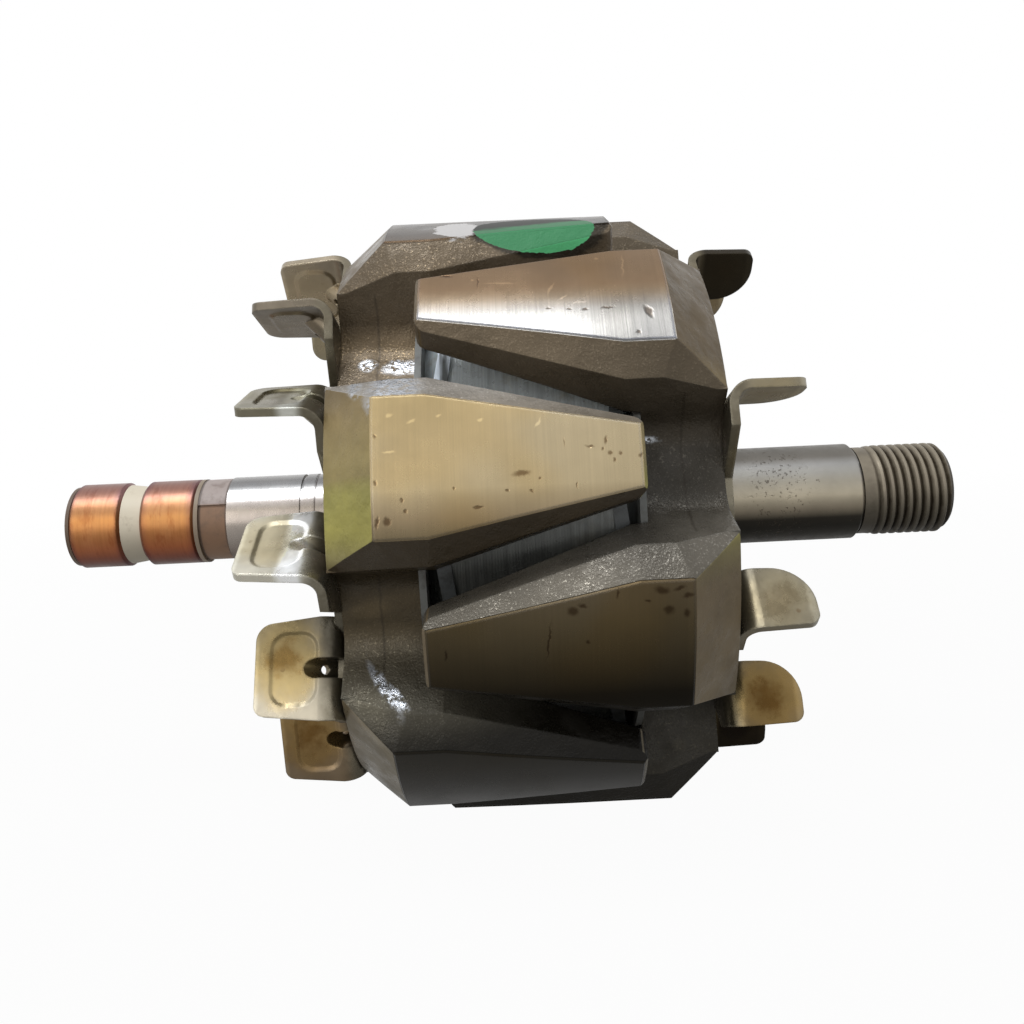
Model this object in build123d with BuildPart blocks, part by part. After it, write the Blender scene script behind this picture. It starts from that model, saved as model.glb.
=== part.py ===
from build123d import *
import math
import os

os.makedirs("parts", exist_ok=True)

# Rotor of a vehicle alternator: two forged claw poles pressed on a shaft round a field coil,
# with a sheet-metal fan on each pole and two slip rings at the rear end.
# All sizes are in millimetres and degrees.
# The origin is on the shaft's axis at the front shoulder, where the front bearing's seat starts.
# +X runs along the shaft to the threaded drive end and +Z is up.

# Claw poles
claw_count = 6
rotor_diameter = 101.0
pole_disc_thickness = 12.0
pole_gap = 32.6
valley_radius = 36.0
valley_fillet = 5.5
hub_lobe_length = 12.8
finger_root_overlap = 2.0
shoulder_run = 7.6
shoulder_drop = 6.4
finger_overrun = 31.6
finger_root_radius = 40.4
finger_tip_thickness = 4.6
finger_tip_chamfer = 0.7
finger_corner_radius = 1.8
# Half widths of a finger: on the turned face, and across its forged flanks.
face_half_tip = 4.0
face_half_root = 9.5
flank_half_tip = 5.1
flank_half_root = 13.0
finger_narrowing_run = 29.0
bevel_depth = 4.3
corner_half_width = 11.4
corner_set_back = 1.6
rear_claw_angle = 45.0
front_claw_angle = rear_claw_angle - 180.0 / claw_count

# Core, coil and its insulation
core_diameter = 48.0
spool_wall = 1.2
flange_thickness = 1.0
# The flanges clear the fingers' roots by this much, and stand this much above the winding.
flange_clearance = 0.6
flange_rim = 1.6
winding_corner_run = 3.2
winding_corner_drop = 3.4
tape_thickness = 0.6
tape_width = 2.0
tape_zigzag = 2.4

# Shaft, from the rear end to the front end
stub_diameter = 7.2
rear_seat_diameter = 15.0
rear_seat_length = 12.6
relief_width = 0.6
relief_depth = 0.35
rear_collar_width = 1.8
rear_body_diameter = 14.8
pole_seat_diameter = 17.8
front_seat_diameter = 17.0
front_seat_length = 28.6
front_seat_chamfer = 0.8
neck_diameter = 14.2
neck_length = 2.3
thread_diameter = 16.0
thread_length = 13.6
thread_chamfer = 1.1
centre_hole_diameter = 5.0
centre_hole_depth = 5.0
rear_bearing_offset = 9.5

# Slip rings and what carries them
slip_ring_diameter = 14.8
slip_ring_wall = 1.5
outer_ring_width = 8.8
inner_ring_width = 9.4
ring_gap = 3.4
ring_chamfer = 0.5
carrier_lip = 0.7
carrier_end = 0.6
carrier_rim_diameter = 14.0
lead_collar_length = 5.0
lead_collar_diameter = 14.6
lead_collar_step = 0.35
collar_pad_first_angle = 0.0
collar_pad_span_angle = 150.0

# Leads from the slip rings to the coil
lead_angles = (60.0, 300.0)
lead_bar_width = 1.6
lead_bar_thickness = 1.0
lead_wire_diameter = 1.2
lead_sleeve_diameter = 2.0
lead_radius = 5.0
lead_groove_width = 2.3
lead_drop_offset = 29.0
lead_slot_depth = 2.6
lead_bare_end = 1.0

# Fans. Each blade is (angle round the shaft, sweep from the radius), as the old sheet stands now.
fan_sheet = 1.3
fan_disc_radius = 35.0
fan_bore_clearance = 0.25
bend_inner_radius = 2.2
petal_lip = 3.0
petal_turn_angle = 20.0
petal_inset = 1.0
small_blade_corner = 1.6
rear_blades = (
    (90, 42),
    (120, 43),
    (146, 45),
    (177, 30),
    (205, 41),
    (235, 45),
    (266, 42),
    (296, 42),
    (325, 42),
    (356, 42),
    (28, 42),
    (60, 43),
)
rear_blade_radius = 40.1
rear_blade_chord = 14.8
rear_blade_narrowing = 1.0
rear_blade_height = 12.7
rear_blade_corner = 2.6
gusset_reach = 4.8
gusset_half_width = 2.3
gusset_wall = 0.85
gusset_eye_radius = 0.7
# The dish pressed in a rear blade keeps this far from its edges.
dish_margin = 2.0
dish_depth = 0.35
dish_corner = 2.6
dish_slope_angle = 60.0
front_blades = (
    (66, 30),
    (98, 32),
    (149, 14),
    (193, 33),
    (220, 30),
    (259, 31),
    (288, 30),
    (317, 30),
    (345, 30),
    (12, 30),
    (39, 30),
)
front_blade_radius = 40.1
front_blade_chord = 9.6
front_blade_narrowing = 0.3
front_blade_height = 11.5
front_blade_corner = 6.0

# Worked-out stations along the shaft
rotor_radius = rotor_diameter / 2
front_pole_face = -fan_sheet
front_disc_inner = front_pole_face - pole_disc_thickness
mid_plane = front_disc_inner - pole_gap / 2
rear_disc_inner = mid_plane - pole_gap / 2
rear_pole_face = rear_disc_inner - pole_disc_thickness
rear_fan_face = rear_pole_face - fan_sheet
rear_collar_front = rear_fan_face - rear_bearing_offset + rear_collar_width
rear_collar_rear = rear_collar_front - rear_collar_width
rear_seat_front = rear_collar_rear - relief_width
rear_seat_rear = rear_seat_front - rear_seat_length
collar_rear = rear_seat_rear - lead_collar_length
inner_ring_front = collar_rear - carrier_lip
inner_ring_rear = inner_ring_front - inner_ring_width
outer_ring_front = inner_ring_rear - ring_gap
outer_ring_rear = outer_ring_front - outer_ring_width
shaft_rear_end = outer_ring_rear - carrier_end
neck_front = front_seat_length + neck_length
shaft_front_end = neck_front + thread_length
ring_seat_radius = slip_ring_diameter / 2 - slip_ring_wall
stub_radius = stub_diameter / 2
pole_seat_radius = pole_seat_diameter / 2
flange_radius = finger_root_radius - flange_clearance
winding_radius = flange_radius - flange_rim
gusset_crest = 2 * fan_sheet + gusset_reach

# Planes that stand on the pole faces: the rear one looks back, the front one looks forward.
rear_stand = Plane(origin=(rear_pole_face, 0, 0), x_dir=(0, 1, 0), z_dir=(-1, 0, 0))
front_stand = Plane(origin=(front_pole_face, 0, 0), x_dir=(0, 1, 0), z_dir=(1, 0, 0))
rear_stand_in = Plane(origin=(rear_pole_face, 0, 0), x_dir=(0, 1, 0), z_dir=(1, 0, 0))
front_stand_in = Plane(origin=(front_pole_face, 0, 0), x_dir=(0, 1, 0), z_dir=(-1, 0, 0))


def along_x(outline):
    """A round piece on the shaft's axis, from points (x, radius)."""
    with BuildPart() as piece:
        with BuildSketch(Plane.XZ):
            with BuildLine():
                Polyline(*outline, close=True)
            make_face()
        revolve(axis=Axis.X)
    return piece.part


def plane_through(first, second, third):
    """The plane through three points, facing the way that leads away from the finger."""
    start = Vector(*first)
    normal = (Vector(*second) - start).cross(Vector(*third) - start)
    if normal.Y < 0:
        normal = normal * -1
    return Plane(origin=start, z_dir=normal)


# Claw poles

def finger():
    """One arm of a claw pole, pointing up +Z from the end face at z = 0, with its back to +X."""
    length = pole_disc_thickness + finger_overrun
    tip_radius = rotor_radius - finger_tip_thickness
    face_height = math.sqrt(rotor_radius**2 - face_half_root**2)
    tip_height = math.sqrt(rotor_radius**2 - face_half_tip**2)
    taper_start = length - finger_narrowing_run
    end_face_radius = rotor_radius - shoulder_drop
    half_step = 180.0 / claw_count
    with BuildPart() as arm:
        with BuildSketch(Plane.XZ.rotated((0, 0, -half_step))):
            with BuildLine():
                Polyline(
                    (valley_radius - finger_root_overlap, 0),
                    (end_face_radius, 0),
                    (rotor_radius, shoulder_run),
                    (rotor_radius, length - finger_tip_chamfer),
                    (rotor_radius - finger_tip_chamfer, length),
                    (tip_radius, length),
                    (finger_root_radius, pole_disc_thickness),
                    (valley_radius - finger_root_overlap, pole_disc_thickness),
                    close=True,
                )
            make_face()
        revolve(axis=Axis.Z, revolution_arc=2 * half_step)
        with BuildSketch(Plane.YZ) as plan:
            with BuildLine():
                Polyline(
                    (-flank_half_root, 0),
                    (flank_half_root, 0),
                    (flank_half_root, taper_start),
                    (flank_half_tip, length),
                    (-flank_half_tip, length),
                    (-flank_half_root, taper_start),
                    close=True,
                )
            make_face()
            fillet(plan.vertices().group_by(Axis.Y)[-1], finger_corner_radius)
        extrude(amount=rotor_diameter, mode=Mode.INTERSECT)
        for side in (1, -1):
            root = (face_height, side * face_half_root, taper_start)
            flank = (face_height - bevel_depth, side * flank_half_root, taper_start)
            tip = (tip_height, side * face_half_tip, length)
            shoulder = (face_height, side * face_half_root, shoulder_run)
            lower = (face_height - bevel_depth, side * flank_half_root, shoulder_run)
            behind = (
                face_height - bevel_depth,
                side * flank_half_root,
                shoulder_run + corner_set_back,
            )
            end = (end_face_radius, side * corner_half_width, 0)
            for cut in ((root, flank, tip), (root, flank, lower), (shoulder, behind, end)):
                away = plane_through(*cut)
                if side < 0:
                    away = Plane(origin=away.origin, z_dir=away.z_dir * -1)
                split(bisect_by=away, keep=Keep.BOTTOM)
    return arm.part


def claw_pole(first_angle, lead_slots):
    """A forged pole standing on its end face, with its fingers pointing up +Z."""
    arm = finger()
    with BuildPart() as pole:
        with BuildSketch() as hub:
            Circle(valley_radius)
            with PolarLocations(valley_radius, claw_count, first_angle):
                Rectangle(hub_lobe_length, 2 * flank_half_root)
            inner = hub.vertices().sort_by_distance((0, 0, 0))[: 2 * claw_count]
            fillet(inner, valley_fillet)
        extrude(amount=pole_disc_thickness)
        with PolarLocations(0, claw_count, first_angle):
            add(arm)
        with BuildSketch():
            Circle(pole_seat_radius)
        extrude(amount=pole_disc_thickness, mode=Mode.SUBTRACT)
        for angle in lead_slots:
            with BuildSketch():
                with PolarLocations(lead_drop_offset / 2, 1, angle):
                    Rectangle(lead_drop_offset, lead_groove_width)
            extrude(amount=lead_slot_depth, mode=Mode.SUBTRACT)
            with BuildSketch():
                with PolarLocations(lead_drop_offset, 1, angle):
                    Circle(lead_groove_width / 2)
            extrude(amount=pole_disc_thickness, mode=Mode.SUBTRACT)
    return pole.part


rear_claw_pole = rear_stand_in.from_local_coords(claw_pole(rear_claw_angle, lead_angles))
rear_claw_pole.label = "rear_claw_pole"
export_step(rear_claw_pole, "parts/rear_claw_pole.step")

front_claw_pole = front_stand_in.from_local_coords(claw_pole(-front_claw_angle, ()))
front_claw_pole.label = "front_claw_pole"
export_step(front_claw_pole, "parts/front_claw_pole.step")

# Core and coil

core_radius = core_diameter / 2
pole_core = along_x(
    (
        (rear_disc_inner, pole_seat_radius),
        (rear_disc_inner, core_radius),
        (front_disc_inner, core_radius),
        (front_disc_inner, pole_seat_radius),
    )
)
pole_core.label = "pole_core"
export_step(pole_core, "parts/pole_core.step")

spool_radius = core_radius + spool_wall
rear_flange = rear_disc_inner + flange_thickness
front_flange = front_disc_inner - flange_thickness
with BuildPart() as coil_bobbin:
    with BuildSketch(Plane.XZ):
        with BuildLine():
            Polyline(
                (rear_disc_inner, core_radius),
                (rear_disc_inner, flange_radius),
                (rear_flange, flange_radius),
                (rear_flange, spool_radius),
                (front_flange, spool_radius),
                (front_flange, flange_radius),
                (front_disc_inner, flange_radius),
                (front_disc_inner, core_radius),
                close=True,
            )
        make_face()
    revolve(axis=Axis.X)
    with BuildSketch(Plane.YZ.offset(rear_disc_inner)):
        for angle in lead_angles:
            with PolarLocations(lead_drop_offset, 1, angle):
                Circle(lead_groove_width / 2)
    extrude(amount=flange_thickness, mode=Mode.SUBTRACT)
coil_bobbin.part.label = "coil_bobbin"
export_step(coil_bobbin.part, "parts/coil_bobbin.step")

winding_shoulder = winding_radius - winding_corner_drop
field_winding = along_x(
    (
        (rear_flange, spool_radius),
        (rear_flange, winding_shoulder),
        (rear_flange + winding_corner_run, winding_radius),
        (front_flange - winding_corner_run, winding_radius),
        (front_flange, winding_shoulder),
        (front_flange, spool_radius),
    )
)
field_winding.label = "field_winding"
export_step(field_winding, "parts/field_winding.step")


def coil_tape(flange_face, inward, near_angle):
    """A strip of tape round the coil's edge, its two edges zigzag from claw to claw."""
    tape_radius = winding_radius + tape_thickness
    deepest = flange_face + inward * (tape_zigzag + tape_width)
    half_step = 180.0 / claw_count
    reach = tape_radius * math.sin(math.radians(half_step))
    past = tape_zigzag / 4
    strip = along_x(
        (
            (flange_face, winding_radius),
            (flange_face, tape_radius),
            (deepest, tape_radius),
            (deepest, winding_radius),
        )
    )
    with BuildPart() as tape:
        add(strip)
        for step in range(claw_count):
            near = near_angle + 2 * half_step * step
            for angle, base, toward in (
                (near + half_step, flange_face, inward),
                (near, deepest, -inward),
            ):
                turn = math.radians(angle)
                out = Vector(0, math.cos(turn), math.sin(turn))
                lift = Plane(origin=out * core_radius, x_dir=(1, 0, 0), z_dir=out)
                with BuildSketch(lift):
                    with BuildLine():
                        Polyline(
                            (base - toward * past, -reach),
                            (base, -reach),
                            (base + toward * tape_zigzag, 0),
                            (base, reach),
                            (base - toward * past, reach),
                            close=True,
                        )
                    make_face()
                extrude(amount=rotor_radius - core_radius, mode=Mode.SUBTRACT)
    return tape.part


rear_coil_tape = coil_tape(rear_flange, 1, rear_claw_angle)
rear_coil_tape.label = "rear_coil_tape"
export_step(rear_coil_tape, "parts/rear_coil_tape.step")

front_coil_tape = coil_tape(front_flange, -1, front_claw_angle)
front_coil_tape.label = "front_coil_tape"
export_step(front_coil_tape, "parts/front_coil_tape.step")

# Shaft

rear_seat_radius = rear_seat_diameter / 2
front_seat_radius = front_seat_diameter / 2
thread_radius = thread_diameter / 2
rear_body_radius = rear_body_diameter / 2
groove_floor = lead_radius - lead_groove_width / 2
groove_front = rear_pole_face + lead_slot_depth
with BuildPart() as shaft:
    with BuildSketch(Plane.XZ):
        with BuildLine():
            Polyline(
                (shaft_rear_end, 0),
                (shaft_rear_end, stub_radius),
                (rear_seat_rear, stub_radius),
                (rear_seat_rear, rear_seat_radius),
                (rear_seat_front, rear_seat_radius),
                (rear_seat_front, rear_seat_radius - relief_depth),
                (rear_collar_rear, rear_seat_radius - relief_depth),
                (rear_collar_rear, rear_seat_radius),
                (rear_collar_front, rear_seat_radius),
                (rear_collar_front, rear_body_radius),
                (rear_fan_face, rear_body_radius),
                (rear_fan_face, pole_seat_radius),
                (0, pole_seat_radius),
                (0, front_seat_radius),
                (front_seat_length - front_seat_chamfer, front_seat_radius),
                (front_seat_length, front_seat_radius - front_seat_chamfer),
                (front_seat_length, neck_diameter / 2),
                (neck_front, neck_diameter / 2),
                (neck_front + thread_chamfer, thread_radius),
                (shaft_front_end - thread_chamfer, thread_radius),
                (shaft_front_end, thread_radius - thread_chamfer),
                (shaft_front_end, 0),
                close=True,
            )
        make_face()
    revolve(axis=Axis.X)
    for angle in lead_angles:
        with BuildSketch(Plane.YZ.offset(rear_seat_rear)):
            with PolarLocations(groove_floor + pole_seat_radius / 2, 1, angle):
                Rectangle(pole_seat_radius, lead_groove_width)
        extrude(amount=groove_front - rear_seat_rear, mode=Mode.SUBTRACT)
    with Locations(Plane(origin=(shaft_front_end, 0, 0), z_dir=(1, 0, 0))):
        CounterSinkHole(
            radius=centre_hole_diameter / 4,
            counter_sink_radius=centre_hole_diameter / 2,
            depth=centre_hole_depth,
            counter_sink_angle=60,
        )
shaft.part.label = "shaft"
export_step(shaft.part, "parts/shaft.step")

# Slip rings

ring_radius = slip_ring_diameter / 2


def slip_ring(rear, front, name):
    """A copper ring with both outer edges chamfered."""
    ring = along_x(
        (
            (rear, ring_seat_radius),
            (rear, ring_radius - ring_chamfer),
            (rear + ring_chamfer, ring_radius),
            (front - ring_chamfer, ring_radius),
            (front, ring_radius - ring_chamfer),
            (front, ring_seat_radius),
        )
    )
    ring.label = name
    export_step(ring, f"parts/{name}.step")


slip_ring(outer_ring_rear, outer_ring_front, "slip_ring_outer")
slip_ring(inner_ring_rear, inner_ring_front, "slip_ring_inner")

outer_ring_middle = (outer_ring_rear + outer_ring_front) / 2
inner_ring_middle = (inner_ring_rear + inner_ring_front) / 2
bar_starts = (outer_ring_middle, inner_ring_middle)
bar_inner = lead_radius - lead_bar_thickness / 2


def lead_bar(start, angle):
    """A copper bar from under its ring to the shaft's groove, with a foot that meets the ring."""
    turn = math.radians(angle)
    out = Vector(0, math.cos(turn), math.sin(turn))
    side = Plane(origin=(0, 0, 0), x_dir=(1, 0, 0), z_dir=Vector(1, 0, 0).cross(out))
    foot_top = math.sqrt(ring_seat_radius**2 - (lead_bar_width / 2) ** 2)
    with BuildPart() as bar:
        with BuildSketch(side):
            with BuildLine():
                Polyline(
                    (start, bar_inner),
                    (rear_seat_rear, bar_inner),
                    (rear_seat_rear, bar_inner + lead_bar_thickness),
                    (start + lead_bar_width, bar_inner + lead_bar_thickness),
                    (start + lead_bar_width, foot_top),
                    (start, foot_top),
                    close=True,
                )
            make_face()
        extrude(amount=lead_bar_width / 2, both=True)
    return bar.part


lead_bars = []
for name, start, angle in zip(("lead_bar_outer", "lead_bar_inner"), bar_starts, lead_angles):
    bar = lead_bar(start, angle)
    lead_bars.append(bar)
    bar.label = name
    export_step(bar, f"parts/{name}.step")

rim_radius = carrier_rim_diameter / 2
with BuildPart() as slip_ring_carrier:
    with BuildSketch(Plane.XZ):
        with BuildLine():
            Polyline(
                (shaft_rear_end, stub_radius),
                (shaft_rear_end, rim_radius),
                (outer_ring_rear, rim_radius),
                (outer_ring_rear, ring_seat_radius),
                (outer_ring_front, ring_seat_radius),
                (outer_ring_front, rim_radius),
                (inner_ring_rear, rim_radius - ring_chamfer),
                (inner_ring_rear, ring_seat_radius),
                (inner_ring_front, ring_seat_radius),
                (inner_ring_front, ring_radius),
                (collar_rear, ring_radius),
                (collar_rear, stub_radius),
                close=True,
            )
        make_face()
    revolve(axis=Axis.X)
    for bar in lead_bars:
        add(bar, mode=Mode.SUBTRACT)
slip_ring_carrier.part.label = "slip_ring_carrier"
export_step(slip_ring_carrier.part, "parts/slip_ring_carrier.step")

collar_radius = lead_collar_diameter / 2
collar_pad_last_angle = collar_pad_first_angle + collar_pad_span_angle
with BuildPart() as lead_collar:
    with BuildSketch(Plane.YZ.offset(collar_rear)):
        Circle(collar_radius - lead_collar_step)
        Circle(stub_radius, mode=Mode.SUBTRACT)
    extrude(amount=lead_collar_length)
    with BuildSketch(Plane.YZ.offset(collar_rear)):
        with BuildLine():
            CenterArc((0, 0), collar_radius, collar_pad_first_angle, collar_pad_span_angle)
            CenterArc((0, 0), stub_radius, collar_pad_first_angle, collar_pad_span_angle)
            for angle in (collar_pad_first_angle, collar_pad_last_angle):
                turn = math.radians(angle)
                Line(
                    (stub_radius * math.cos(turn), stub_radius * math.sin(turn)),
                    (collar_radius * math.cos(turn), collar_radius * math.sin(turn)),
                )
        make_face()
    extrude(amount=lead_collar_length)
    for bar in lead_bars:
        add(bar, mode=Mode.SUBTRACT)
lead_collar.part.label = "lead_collar"
export_step(lead_collar.part, "parts/lead_collar.step")

# Leads to the coil


def lead_route(angle, trim):
    """Points along a lead: down the shaft's groove, out along the pole's slot, in to the coil."""
    turn = math.radians(angle)
    out = Vector(0, math.cos(turn), math.sin(turn))
    slot_middle = rear_pole_face + lead_slot_depth / 2
    return (
        Vector(rear_seat_rear + trim, 0, 0) + out * lead_radius,
        Vector(slot_middle, 0, 0) + out * lead_radius,
        Vector(slot_middle, 0, 0) + out * lead_drop_offset,
        Vector(rear_flange - trim, 0, 0) + out * lead_drop_offset,
    )


def lead_sweep(angle, trim, outer, inner):
    """A round lead or, where inner is over zero, a sleeve swept along the lead's route."""
    route = lead_route(angle, trim)
    with BuildPart() as lead:
        with BuildLine() as path:
            Polyline(*route)
        with BuildSketch(Plane(origin=route[0], z_dir=(1, 0, 0))):
            Circle(outer / 2)
            if inner > 0:
                Circle(inner / 2, mode=Mode.SUBTRACT)
        sweep(path=path.line, transition=Transition.RIGHT)
    return lead.part


for end, angle in zip(("outer", "inner"), lead_angles):
    wire = lead_sweep(angle, 0, lead_wire_diameter, 0)
    wire.label = f"lead_wire_{end}"
    export_step(wire, f"parts/lead_wire_{end}.step")
    sleeve = lead_sweep(angle, lead_bare_end, lead_sleeve_diameter, lead_wire_diameter)
    sleeve.label = f"lead_sleeve_{end}"
    export_step(sleeve, f"parts/lead_sleeve_{end}.step")

# Fans


def polar(radius, angle):
    """A flat point at this radius and angle."""
    turn = math.radians(angle)
    return Vector(radius * math.cos(turn), radius * math.sin(turn))


def gusset_bar(section, half_width, crest):
    """A bar with a round back, lying at 45 degrees across the blade's bend."""
    up = section.y_dir
    out = section.x_dir
    middle = section.origin + (up - out) * (crest / 2)
    slope = Plane(origin=middle, x_dir=section.z_dir, z_dir=up + out)
    with BuildPart() as bar:
        with BuildSketch(slope):
            with Locations((0, half_width)):
                Circle(half_width)
            with Locations((0, half_width + crest / 2)):
                Rectangle(2 * half_width, crest)
        extrude(amount=crest, both=True)
    return bar.part


def gusset_rib(section, bend_start):
    """The pressed rib on the inside of a blade's bend."""
    inset = fan_sheet / 2
    mid_bend = bend_start - (bend_start - inset) / math.sqrt(2)
    with BuildPart() as rib:
        with BuildSketch(section):
            with BuildLine():
                Polyline(
                    (-inset, gusset_crest - inset),
                    (inset - gusset_crest, inset),
                    (-mid_bend, mid_bend),
                    close=True,
                )
            make_face()
        extrude(amount=gusset_half_width, both=True)
        add(gusset_bar(section, gusset_half_width, gusset_crest), mode=Mode.INTERSECT)
    return rib.part


def blade(angle, sweep_angle, middle_radius, chord, height, taper, corner, gusset):
    """A tab bent up from the disc along a swept line, with a pressed gusset where it has one."""
    facing = angle + sweep_angle - math.copysign(90, sweep_angle)
    middle = polar(middle_radius, angle)
    normal = polar(1, facing)
    along = normal.cross(Vector(0, 0, 1))
    outward = math.copysign(1, along.dot(middle))
    section = Plane(origin=middle, x_dir=normal, z_dir=along)
    flat = Plane(origin=middle, x_dir=along * outward, z_dir=normal * -outward)
    bend_start = fan_sheet + bend_inner_radius
    foot_end = bend_start + fan_sheet
    half = chord / 2
    rib = gusset_rib(section, bend_start)
    hollow_crest = gusset_crest - gusset_wall * math.sqrt(2)
    hollow = gusset_bar(section, gusset_half_width - gusset_wall, hollow_crest)
    with BuildPart() as tab:
        with BuildSketch(section):
            with BuildLine():
                inner = Line((-foot_end, fan_sheet), (-bend_start, fan_sheet))
                bend = RadiusArc(inner @ 1, (-fan_sheet, bend_start), -bend_inner_radius)
                Polyline(bend @ 1, (-fan_sheet, height), (0, height), (0, bend_start))
                outer = RadiusArc((0, bend_start), (-bend_start, 0), bend_start)
                Polyline(outer @ 1, (-foot_end, 0), inner @ 0)
            make_face()
        extrude(amount=half, both=True)
        with BuildSketch(flat) as outline:
            with BuildLine():
                Polyline(
                    (-half, 0),
                    (half, 0),
                    (half, bend_start),
                    (half - taper, height),
                    (taper - half, height),
                    (-half, bend_start),
                    close=True,
                )
            make_face()
            inner_corner = outline.vertices().group_by(Axis.Y)[-1].sort_by(Axis.X)[0]
            fillet(inner_corner, corner)
            outer_corner = outline.vertices().group_by(Axis.Y)[-1].sort_by(Axis.X)[-1]
            fillet(outer_corner, small_blade_corner)
        extrude(amount=chord, both=True, mode=Mode.INTERSECT)
        if gusset:
            dish_height = height - bend_start - dish_margin
            for back, mode in ((0, Mode.SUBTRACT), (fan_sheet, Mode.ADD)):
                pressed = Plane(origin=middle - normal * back, x_dir=along, z_dir=normal * -1)
                with BuildSketch(pressed):
                    with Locations((0, bend_start + dish_height / 2)):
                        RectangleRounded(chord - 2 * dish_margin, dish_height, dish_corner)
                extrude(amount=dish_depth, taper=dish_slope_angle, mode=mode)
            add(rib)
            add(hollow, mode=Mode.SUBTRACT)
            with Locations(Plane(origin=middle, z_dir=Vector(0, 0, 1) - normal)):
                Cylinder(gusset_eye_radius, 4 * gusset_reach, mode=Mode.SUBTRACT)
    return tab.part


def fan(blades, middle_radius, chord, height, taper, corner, gusset):
    """A pressed fan lying on its disc, with its blades pointing up +Z."""
    half = chord / 2
    bend_start = fan_sheet + bend_inner_radius
    tabs = [
        blade(angle, sweep_angle, middle_radius, chord, height, taper, corner, gusset)
        for angle, sweep_angle in blades
    ]
    with BuildPart() as disc:
        with BuildSketch():
            Circle(fan_disc_radius)
            for angle, sweep_angle in blades:
                lean = polar(1, angle + sweep_angle)
                normal = polar(1, angle + sweep_angle - math.copysign(90, sweep_angle))
                root = polar(middle_radius, angle) - normal * bend_start
                with BuildLine():
                    Polyline(
                        root - lean * half,
                        root + lean * half,
                        root + lean * half - normal * petal_lip,
                        polar(
                            fan_disc_radius - petal_inset,
                            angle + math.copysign(petal_turn_angle, sweep_angle),
                        ),
                        close=True,
                    )
                make_face()
            Circle(pole_seat_radius + fan_bore_clearance, mode=Mode.SUBTRACT)
        extrude(amount=fan_sheet)
        add(tabs)
    return disc.part


rear_fan = rear_stand.from_local_coords(
    fan(
        [(-angle, -lean) for angle, lean in rear_blades],
        rear_blade_radius,
        rear_blade_chord,
        rear_blade_height,
        rear_blade_narrowing,
        rear_blade_corner,
        True,
    )
)
rear_fan.label = "rear_fan"
export_step(rear_fan, "parts/rear_fan.step")

front_fan = front_stand.from_local_coords(
    fan(
        front_blades,
        front_blade_radius,
        front_blade_chord,
        front_blade_height,
        front_blade_narrowing,
        front_blade_corner,
        False,
    )
)
front_fan.label = "front_fan"
export_step(front_fan, "parts/front_fan.step")
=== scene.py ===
# %% [markdown]
# # The rotor of a vehicle alternator
# Two forged claw poles close round a field coil on a steel shaft. Each pole carries a
# pressed fan, and two copper slip rings sit behind the rear bearing's seat. The solids come
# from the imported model. This lesson gives them their finishes, adds the cut thread and the
# paint, and sets the camera where the photographer stood.

# %% Load the solids
import math

import bpy
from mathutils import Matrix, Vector


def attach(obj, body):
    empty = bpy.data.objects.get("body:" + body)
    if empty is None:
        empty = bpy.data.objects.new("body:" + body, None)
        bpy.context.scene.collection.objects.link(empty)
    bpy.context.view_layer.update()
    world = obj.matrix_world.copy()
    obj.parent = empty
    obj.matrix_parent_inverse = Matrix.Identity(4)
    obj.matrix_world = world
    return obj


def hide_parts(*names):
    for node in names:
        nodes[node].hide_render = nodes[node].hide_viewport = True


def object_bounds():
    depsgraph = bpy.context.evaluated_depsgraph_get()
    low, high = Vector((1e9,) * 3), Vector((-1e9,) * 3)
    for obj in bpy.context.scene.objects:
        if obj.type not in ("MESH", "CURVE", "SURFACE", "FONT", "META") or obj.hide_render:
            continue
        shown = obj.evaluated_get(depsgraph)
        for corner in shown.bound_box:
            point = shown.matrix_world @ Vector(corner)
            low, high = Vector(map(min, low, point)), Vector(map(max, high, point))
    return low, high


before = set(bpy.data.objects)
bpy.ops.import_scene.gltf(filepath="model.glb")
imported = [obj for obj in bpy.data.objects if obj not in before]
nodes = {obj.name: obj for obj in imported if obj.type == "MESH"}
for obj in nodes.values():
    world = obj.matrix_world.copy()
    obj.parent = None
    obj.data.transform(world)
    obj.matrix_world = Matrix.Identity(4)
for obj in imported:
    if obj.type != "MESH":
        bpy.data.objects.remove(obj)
cad_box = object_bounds()
scene = bpy.context.scene
mm = 0.001
print("nodes", len(nodes))

# %% [markdown]
# ## Camera
# The photograph was taken close by, from a little above the shaft, so the near claws look
# larger than the far ones. The small lens shift is there because the rotor stands high in
# the photograph's frame for a camera that looks along this line.

# %% Place the camera
camera_data = bpy.data.cameras.new("camera")
camera_data.sensor_width = 36
camera_data.lens = 35.156
camera_data.shift_x = -0.0143
camera_data.shift_y = -0.0815
camera_data.clip_start = 0.01
camera = bpy.data.objects.new("camera", camera_data)
scene.collection.objects.link(camera)
camera.location = Vector((-31.266, -178.981, 25.622)) * mm
camera.rotation_euler = [math.radians(turn) for turn in (86.2579, 2.5896, -0.789)]
scene.camera = camera
scene.view_settings.view_transform = "Standard"
print("camera", tuple(round(value, 4) for value in camera.location))

# %% [markdown]
# ## Small helpers for the finishes
# Every finish is a node tree on Object coordinates, which are metres on the part itself.
# A pattern then keeps its real size, and stays on the part in every view. The helpers below
# only save typing: each adds one node and returns its output.


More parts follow.
